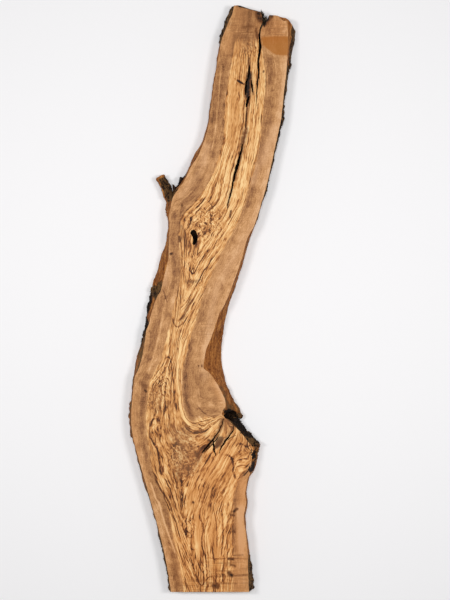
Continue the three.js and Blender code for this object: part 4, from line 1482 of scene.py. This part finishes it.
    # Sapwood is mottled, with short pores, faint scratches and the saw's marks across it. The lines that
    # a band saw leaves are about 1 mm apart, too fine to show, so they are drawn 3.2 mm wide.
    across_grain = put("VectorMath", mm, (1 / 70, 1 / 3.2, 0), **TIMES)
    saw_marks = put("TexNoise", across_grain, sockets={"Scale": 1.0, "Detail": 2.0})
    scratches = hairline(grain(growth, 26.0, 600.0, 0.5, 0.4, 57.1), 0.03)
    scratches = put("Math", scratches, here_and_there(40, 0.5, 0.6, 111), **TIMES)
    sap_tone = SAP_TONE
    for layer, weight in (
        (grain(growth, 18.0, 300.0, 2.0, 0.5, 51.7), 0.5), (grain(growth, 2.8, 16.0, 2.0, 0.6, 67.1), 0.8),
        (cloud(2.6, 2.0, 137), 0.7), (cloud(24, 3.0, 123), 0.75), (saw_marks, 0.22), (scratches, 0.25),
        (read["dark"], -0.33), (read["light"], 0.3), (read["pale"], 0.5), (line, -0.45),
        (put("MapRange", read["arris"], 0.0, 30.0, 0.14, 0.0, **EASED), 1.0),
    ):
        sap_tone = put("Math", layer, weight, sap_tone, operation="MULTIPLY_ADD")
    sap_colour = put("ValToRGB", sap_tone, stops=[
        (0.0, "#5b361a"), (0.25, "#8f5e38"), (0.5, "#af7c4c"), (0.75, "#ca9562"), (1.0, "#deae7e"),
    ])
    border = put("Math", read["heart"], sway(16, 12.0, 77), operation="ADD")
    fading = put("Math", fibres, 1.6, read["plain_end"], operation="MULTIPLY_ADD")
    share = put("MapRange", border, -2.0, 2.0, **EASED)
    share = put("Math", share, put("MapRange", fading, 1.15, 1.45, 1.0, 0.0, **EASED), **TIMES)

    # Dirt and old resin: brown at its rim, nearly black in its middle
    blot = put("Math", cloud(6, 3.0, 151), 1.5, 0.25, operation="MULTIPLY_ADD")
    stain = put("Math", read["stain"], blot, **TIMES)
    rim = put("Math", cloud(6, 3.0, 191), 3.0, -1.7, operation="MULTIPLY_ADD")
    rim = put("MapRange", put("Math", rim, read["rotted"], operation="ADD"), 0.2, 0.4, **EASED)
    rim = put("Math", rim, put("MapRange", read["rotted"], 0.02, 0.15, **EASED), **TIMES)
    stain = put("Math", stain, rim, operation="MAXIMUM")
    black = put("Math", stain, put("MapRange", line, 0.86, 0.98, **EASED), operation="MAXIMUM")
    burnt = put("Math", put("MapRange", saw_marks, 0.44, 0.68, **EASED), read["saw_burn"], **TIMES)

    # Each colour is laid over the ones before it. The light and warm layers hold a painted highlight along
    # an arris.
    dull_curls = put("Math", put("Math", flecks, curls, operation="MAXIMUM"), read["dull"], **TIMES)
    colour = sap_colour
    for amount, over in (
        (put("Math", read["light"], 0.35, **TIMES), linear("#d0a27c")),
        (share, heart_colour),
        (put("Math", read["dull"], 0.4, **TIMES), linear("#a6744a")),
        (put("Math", dull_curls, 0.3, **TIMES), linear("#6b4121")),
        (put("Math", read["warm"], 0.6, **TIMES), linear("#d2935a")),
        (put("Math", read["patch"], 0.84, **TIMES), linear("#aa6826")),
        (put("Math", burnt, 0.7, **TIMES), linear("#6e3f1b")),
        (put("Math", read["brown_patch"], 0.85, **TIMES), linear("#573820")),
        (put("MapRange", stain, 0.05, 0.5, 0.0, 0.85, **EASED), linear("#6d3f1d")),
        (put("MapRange", black, 0.4, 0.95, **EASED), linear("#1f1108")),
    ):
        colour = put("Mix", sockets={MIX_SHARE: amount, MIX_FROM: colour, MIX_TO: over}, **COLOURS)
    colour = put(
        "Mix", sockets={MIX_SHARE: read["ruddy"], MIX_FROM: colour, MIX_TO: linear("#fff4ea")},
        blend_type="MULTIPLY", **COLOURS,
    )
    tree.links.new(colour, surface["Base Color"])
    tree.links.new(put("MapRange", fibres, 0.3, 0.7, 0.62, 0.5), surface["Roughness"])
    height = put("Math", fibres, stain, operation="SUBTRACT")
    bump = put("Bump", sockets={"Strength": 0.15, "Distance": 0.0006, "Height": height})
    tree.links.new(bump, surface["Normal"])
    return material


def natural_edge():
    """Where the trunk's own outside is left: reddish-brown fibrous wood from under the bark,
    grey-brown furrowed bark where it still holds, and black where it rotted. Dull all over."""
    material, tree, surface = new_material("barked_natural_edge", 0.85, 0.15)
    put = partial(node, tree)
    bark = put("Attribute", attribute_name="bark", out="Fac")
    rot = put("Attribute", attribute_name="rot", out="Fac")

    # The finest fibres and grit are well under 1 mm, too fine to show, so they are drawn about 4 mm wide
    fibre = fibrous(put, (4.0, 45.0, 4.0), 4.0, 0.6)
    flake = fibrous(put, (18.0, 34.0, 18.0), 3.0, 0.6)
    streak = fibrous(put, (9.0, 110.0, 9.0), 3.0, 0.55)
    grit = fibrous(put, (3.5, 6.0, 3.5), 4.0, 0.7)
    mixed = put("Math", put("Math", fibre, 0.8, streak, operation="MULTIPLY_ADD"), grit, operation="ADD")
    under = put("ValToRGB", put("Math", mixed, 0.5, **TIMES), stops=[
        (0.48, "#351b0c"), (0.61, "#6d3d1c"), (0.72, "#975c2c"), (0.85, "#c28645"),
    ])
    crust = put("ValToRGB", put("Math", flake, grit, operation="ADD"), stops=[
        (0.8, "#0e0805"), (0.95, "#25170d"), (1.08, "#422c18"), (1.25, "#6a4c2c"),
    ])
    ragged = put("Math", flake, 1.4, -0.7, operation="MULTIPLY_ADD")
    gritty = put("Math", grit, 0.9, put("Math", ragged, -0.45, operation="ADD"), operation="MULTIPLY_ADD")
    held = put("MapRange", put("Math", bark, gritty, operation="ADD"), 0.35, 0.65, **EASED)
    rotten = put("MapRange", put("Math", rot, gritty, operation="ADD"), 0.3, 0.7, **EASED)
    rot_colour = put("ValToRGB", fibre, stops=[(0.4, "#0a0604"), (0.55, "#1b100a"), (0.7, "#3a2413")])
    colour = under
    for amount, over in ((held, crust), (rotten, rot_colour)):
        colour = put("Mix", sockets={MIX_SHARE: amount, MIX_FROM: colour, MIX_TO: over}, **COLOURS)
    tree.links.new(colour, surface["Base Color"])
    height = put("Math", fibre, grit, operation="ADD")
    bump = put("Bump", sockets={"Strength": 0.6, "Distance": 0.0015, "Height": height})
    tree.links.new(bump, surface["Normal"])
    return material


def crosscut_olive():
    """Crosscut olive: close dark rings round a pith below the plank, duller and darker than the faces"""
    material, tree, surface = new_material("crosscut_olive", 0.75, 0.2)
    put = partial(node, tree)
    place = put("TexCoord", out="Object")
    section = put("Mapping", place, sockets={"Location": (0.0, 0.0, PITH_BELOW), "Scale": (1000, 0, 1000)})
    warp = put("TexNoise", section, sockets={"Scale": 1 / 60, "Detail": 3.0})
    reach = put("VectorMath", section, operation="LENGTH", out="Value")
    reach = put("Math", warp, 24.0, reach, operation="MULTIPLY_ADD")
    settings = {"W": reach, "Scale": 1 / END_RING_SIZE, "Detail": 3.0, "Roughness": 0.65}
    rings = put("TexNoise", sockets=settings, noise_dimensions="1D")
    colour = put("ValToRGB", rings, stops=[
        (0.3, "#6a4527"), (0.48, "#8c6038"), (0.6, "#a3764a"), (0.75, "#b98f60"),
    ])
    tree.links.new(colour, surface["Base Color"])
    bump = put("Bump", sockets={"Strength": 0.3, "Distance": 0.0008, "Height": rings})
    tree.links.new(bump, surface["Normal"])
    return material


def dirty_shaded_wall():
    """Walls of cracks and holes, nearly black with brown fibres: old dirt together with painted shade"""
    material, tree, surface = new_material("dirt_and_shade_crack_wall", 0.9, 0.1)
    put = partial(node, tree)
    fibre = fibrous(put, (10 / 3, 25.0, 5.0), 4.0, 0.5)
    colour = put("ValToRGB", fibre, stops=[(0.35, "#0b0705"), (0.55, "#22150b"), (0.7, "#452b15")])
    tree.links.new(colour, surface["Base Color"])
    bump = put("Bump", sockets={"Strength": 0.5, "Distance": 0.001, "Height": fibre})
    tree.links.new(bump, surface["Normal"])
    return material


def grey_splinters():
    """Splinters that weathered in the cleft: dark brown with grey, dry tips"""
    material, tree, surface = new_material("weathered_splinters", 0.9, 0.1)
    put = partial(node, tree)
    fibre = fibrous(put, (2.0, 50 / 3, 10 / 3), 3.0, 0.5)
    colour = put("ValToRGB", fibre, stops=[
        (0.35, "#0d0906"), (0.5, "#2a2117"), (0.6, "#5b4d3b"), (0.72, "#a39a88"),
    ])
    tree.links.new(colour, surface["Base Color"])
    return material


# Small loose pieces, strewn over parts of the surface by geometry nodes


def strewing():
    """Chips strewn over a surface. They lie along the plank on the surface, or stand along a given way."""
    tree = bpy.data.node_groups.new("strewn_chips", "GeometryNodeTree")
    tree.interface.new_socket("Chips", in_out="OUTPUT", socket_type="NodeSocketGeometry")
    for name, kind in (
        ("Ground", "Geometry"), ("Per square metre", "Float"), ("Half sizes", "Vector"), ("Way", "Vector"),
        ("Tilt", "Float"), ("Smallest", "Float"), ("Unevenness", "Float"), ("Seed", "Int"),
        ("Surface", "Material"),
    ):
        tree.interface.new_socket(name, in_out="INPUT", socket_type="NodeSocket" + kind)
    put = partial(node, tree)
    given = put("NodeGroupInput").node.outputs
    points = put(
        "GeometryNodeDistributePointsOnFaces", given["Ground"],
        sockets={"Density": given["Per square metre"], "Seed": given["Seed"]},
    )
    tilt = put("FunctionNodeRandomValue", (-1.0, -1.0, -1.0), (1.0, 1.0, 1.0), data_type="FLOAT_VECTOR")
    tree.links.new(given["Seed"], tilt.node.inputs["Seed"])
    tilt = put("VectorMath", tilt, sockets={"Scale": given["Tilt"]}, operation="SCALE")
    out = put("VectorMath", points.node.outputs["Normal"], given["Way"], operation="ADD")
    out = put("VectorMath", out, tilt, operation="ADD")
    turn = put("FunctionNodeAlignRotationToVector", sockets={"Vector": out}, axis="Z")
    along = {"Vector": (0.0, 1.0, 0.0)}
    turn = put("FunctionNodeAlignRotationToVector", turn, sockets=along, axis="Y", pivot_axis="Z")
    share = put("FunctionNodeRandomValue", sockets={2: given["Smallest"], 3: 1.0}, out=1, data_type="FLOAT")
    size = put("VectorMath", given["Half sizes"], sockets={"Scale": share}, operation="SCALE")
    noise = put("TexNoise", sockets={"Scale": 1.3, "Detail": 1.0}, out="Color")
    shift = put("VectorMath", noise, (-0.5, -0.5, -0.5), operation="ADD")
    shift = put("VectorMath", shift, sockets={"Scale": given["Unevenness"]}, operation="SCALE")
    chip = put("GeometryNodeMeshIcoSphere", 1.0, 1)
    chip = put("GeometryNodeSetPosition", chip, sockets={"Offset": shift})
    placing = {"Instance": chip, "Rotation": turn, "Scale": size}
    chips = put("GeometryNodeInstanceOnPoints", points, sockets=placing)
    chips = put("GeometryNodeRealizeInstances", chips)
    chips = put("GeometryNodeSetMaterial", chips, sockets={"Material": given["Surface"]})
    put("NodeGroupOutput", chips)
    return tree


def kept_within(made, low, high):
    """Holds the vertices inside the plank's own box"""
    for vertex in made.data.vertices:
        vertex.co = Vector(min(max(c, a), b) for c, a, b in zip(vertex.co, low, high))


def strew(name, ground, tree, settings):
    """Strews chips over a ground mesh and keeps only the chips"""
    modifier = ground.modifiers.new("chips", "NODES")
    modifier.node_group = tree
    for socket in tree.interface.items_tree:
        if socket.in_out == "INPUT" and socket.name in settings:
            modifier[socket.identifier] = settings[socket.name]
    graph = bpy.context.evaluated_depsgraph_get()
    chips = bpy.data.meshes.new_from_object(ground.evaluated_get(graph))
    ground.modifiers.clear()
    ground.data = chips
    ground.name = name
    kept_within(ground, *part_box("plank"))
    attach(ground, "root")


def within(place, reaches):
    """True where each coordinate lies between its two limits"""
    return all(low < at < high for at, (low, high) in zip(place, reaches))


def ground_from(body, name):
    """A copy of the faces of the body that one kind of loose piece lies on"""
    materials, least_bark, *reaches = GROUNDS[name]
    mesh = body.data
    bark = mesh.attributes["bark"].data
    rot = mesh.attributes["rot"].data
    faces = []
    for face in mesh.polygons:
        x, y, z = face.center / MM
        place = (x - DATUM_SHIFT[0], y - DATUM_SHIFT[1], z)
        rough = face.material_index in materials and bark[face.vertices[0]].value > least_bark
        if rough and within(place, reaches) and not any(within(place, reach) for reach in SMOOTH_PLACES):
            faces.append(tuple(face.vertices))
    used = sorted({v for face in faces for v in face})
    index = {v: k for k, v in enumerate(used)}
    copied = bpy.data.meshes.new(name)
    kept = [[index[v] for v in face] for face in faces]
    copied.from_pydata([mesh.vertices[v].co for v in used], [], kept)
    copied.update()
    darkness = np.array([rot[v].value for v in used], np.float32)
    for attribute, value in (("bark", np.ones(len(used), np.float32)), ("rot", darkness)):
        copied.attributes.new(attribute, "FLOAT", "POINT").data.foreach_set("value", value)
    return in_scene(name, copied)


def loose_pieces(body, edge):
    """Scales, shards, spikes and slivers over the rough parts of the surface, with half sizes in metres"""
    tree = strewing()
    splinters = grey_splinters()
    for name, ground, settings in (
        ("bark_scales", "barked", {
            "Per square metre": 26000.0, "Half sizes": (0.0042, 0.008, 0.0013), "Tilt": 0.35,
            "Smallest": 0.4, "Unevenness": 1.2, "Seed": 3, "Surface": edge,
        }),
        ("torn_shards", "torn_wall", {
            "Per square metre": 30000.0, "Half sizes": (0.0018, 0.0028, 0.0034), "Tilt": 1.0,
            "Smallest": 0.25, "Unevenness": 1.2, "Seed": 5, "Surface": edge,
        }),
        ("edge_spikes", "spiky_edge", {
            "Per square metre": 9000.0, "Half sizes": (0.0012, 0.0016, 0.0042), "Tilt": 0.7,
            "Smallest": 0.3, "Unevenness": 1.2, "Seed": 7, "Surface": edge,
        }),
        ("cleft_slivers", "cleft_wall", {
            "Per square metre": 120000.0, "Half sizes": (0.0018, 0.0011, 0.018), "Way": (0.0, 5.0, 0.0),
            "Tilt": 1.9, "Smallest": 0.3, "Unevenness": 1.0, "Seed": 11, "Surface": splinters,
        }),
    ):
        strew(name, ground_from(body, ground), tree, settings)


def build_plank():
    """The board with its growths, cut by its cracks and holes, and the loose pieces on it"""
    # The walls of cracks and holes (dark) are nearly black: old dirt together with painted shade in the
    # recesses
    sanded, edge, crosscut, dark = sanded_olive(), natural_edge(), crosscut_olive(), dirty_shaded_wall()
    body = board([sanded, edge, crosscut, dark])

    def narrowing_cleft(ring):
        open_share = CLEFT_BACK_SHARE + (1 - CLEFT_BACK_SHARE) * ring[:, 2] / THICKNESS
        ring[:, 0] = CLEFT_MIDDLE + (ring[:, 0] - CLEFT_MIDDLE) * open_share
        return ring

    def narrowing_knot(ring):
        share = (ring[:, 2] - THICKNESS + KNOT_HOLE_DEPTH) / KNOT_HOLE_DEPTH
        open_share = KNOT_HOLE_FLOOR_SHARE + (1 - KNOT_HOLE_FLOOR_SHARE) * share
        for k in (0, 1):
            ring[:, k] = KNOT_HOLE_MIDDLE[k] + (ring[:, k] - KNOT_HOLE_MIDDLE[k]) * open_share
        ring[:, 1] += KNOT_HOLE_DRIFT * (1 - share)
        return ring

    growths = [
        lump("bark_lump", *BARK_LUMP, edge, 31),
        limb("bark_flake", *BARK_FLAKE, edge, 32, 0.8),
        limb("dead_shoot", *DEAD_SHOOT, edge, 35, 0.4),
        limb("twig_stub", *TWIG_STUB, edge, 33, 1.6),
        limb("spur", *SPUR, edge, 34, 0.8),
    ]
    knot_floor = THICKNESS - KNOT_HOLE_DEPTH
    cutters = [
        prism("end_offcut", END_OUTLINE, -OVERSHOOT, 6, crosscut, 41, 0.35),
        prism("cleft", CLEFT, -OVERSHOOT, 12, dark, 42, 0.6, narrowing_cleft),
        crack("split", SPLIT, THICKNESS + OVERSHOOT, SPLIT_LEAN, dark, 43),
        crack("lower_check", LOWER_CHECK, CHECK_DEPTH, 0.0, dark, 45),
        *(
            crack(f"upper_check_{k}", route, CHECK_DEPTH, 0.0, dark, 71 + k)
            for k, route in enumerate(UPPER_CHECKS)
        ),
        prism("knot_hole", KNOT_HOLE, knot_floor, 12, dark, 46, 0.5, narrowing_knot),
        prism("torn_piece", TORN_EDGE, -OVERSHOOT, 16, dark, 47, 1.2),
        lump("rot_hollow", *ROT_HOLLOW, dark, 48),
        lump("burr_pit", *BURR_PIT, edge, 49),
        lump("corner_chip", *CORNER_CHIP, edge, 50),
        *(
            crack(f"burr_crack_{k}", route, BURR_CRACK_DEPTH, 0.0, dark, 51 + k)
            for k, route in enumerate(BURR_CRACKS)
        ),
        *(lump(f"edge_pit_{k}", *pit, edge, 61 + k) for k, pit in enumerate(EDGE_PITS)),
    ]
    cut_and_join(body, cutters, growths)
    kept_within(body, *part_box("plank"))
    give_attributes(body, growth_field())
    soft_shading(body)
    loose_pieces(body, edge)
    return body


plank = build_plank()
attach(plank, "root")
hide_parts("plank")


# Floor, light and camera

# The floor lies just under the plank's back face, so that the two don't flicker together, in metres
FLOOR_DROP = 0.0004
FLOOR_REACH = 9.0

# Straight above the plank, with the lens that gives the photograph's 2.726 mm per pixel on the show face
CAMERA_PLACE = (0.0352, -0.004, 3.05)
CAMERA_LENS = 44.02
CAMERA_SENSOR = 24.0

# Soft boxes over the plank: name, place and size in metres, power in watts
SOFT_BOXES = (
    ("soft_light_left", (-1.5, 0.3, 3.0), (0.45, 0.8), 31.5),
    ("soft_light_right", (1.5, 0.1, 3.0), (0.45, 0.8), 31.5),
    ("soft_light_above", (0.0, 0.1, 3.6), (1.2, 1.2), 48.0),
)

# The room is bright at eye height and dimmer overhead, where the lamps are
ROOM_BRIGHT = 0.7
ROOM_DIM = 0.16


def lay_floor():
    """A plain pale floor under the plank"""
    corners = [(-1, -1), (1, -1), (1, 1), (-1, 1)]
    points = [(FLOOR_REACH * x, FLOOR_REACH * y, -FLOOR_DROP) for x, y in corners]
    mesh = bpy.data.meshes.new("floor")
    mesh.from_pydata(points, [], [(0, 1, 2, 3)])
    material, _, surface = new_material("matt_white_paint", 0.9, 0.1)
    surface["Base Color"].default_value = linear("#f5f4f5")
    mesh.materials.append(material)
    in_scene("floor", mesh)


def soft_box(name, place, size, power):
    """A lamp behind a soft white screen, aimed at the plank's middle"""
    light = bpy.data.lights.new(name, "AREA")
    light.shape = "RECTANGLE"
    light.size, light.size_y = size
    light.energy = power
    made = in_scene(name, light)
    made.location = place
    made.rotation_euler = (Vector((0, 0, 0)) - Vector(place)).to_track_quat("-Z", "Y").to_euler()
    made.visible_camera = False


def light_and_camera():
    """Plain soft studio light, and the camera over the plank"""
    world = bpy.data.worlds.new("soft_studio")
    world.use_nodes = True
    tree = world.node_tree
    background = tree.nodes["Background"].inputs
    background["Color"].default_value = linear("#fbfbfb")
    up = node(tree, "SeparateXYZ", node(tree, "TexCoord", out="Generated"), out=2)
    strength = node(tree, "MapRange", up, 0.1, 0.4, ROOM_BRIGHT, ROOM_DIM, **EASED)
    tree.links.new(strength, background["Strength"])
    bpy.context.scene.world = world
    for light in SOFT_BOXES:
        soft_box(*light)
    # The plain view transform shows the colours as they were chosen
    bpy.context.scene.view_settings.view_transform = "Standard"
    camera = bpy.data.cameras.new("camera")
    camera.sensor_fit = "VERTICAL"
    camera.sensor_height = CAMERA_SENSOR
    camera.lens = CAMERA_LENS
    made = in_scene("camera", camera)
    made.location = CAMERA_PLACE
    bpy.context.scene.camera = made


lay_floor()
light_and_camera()
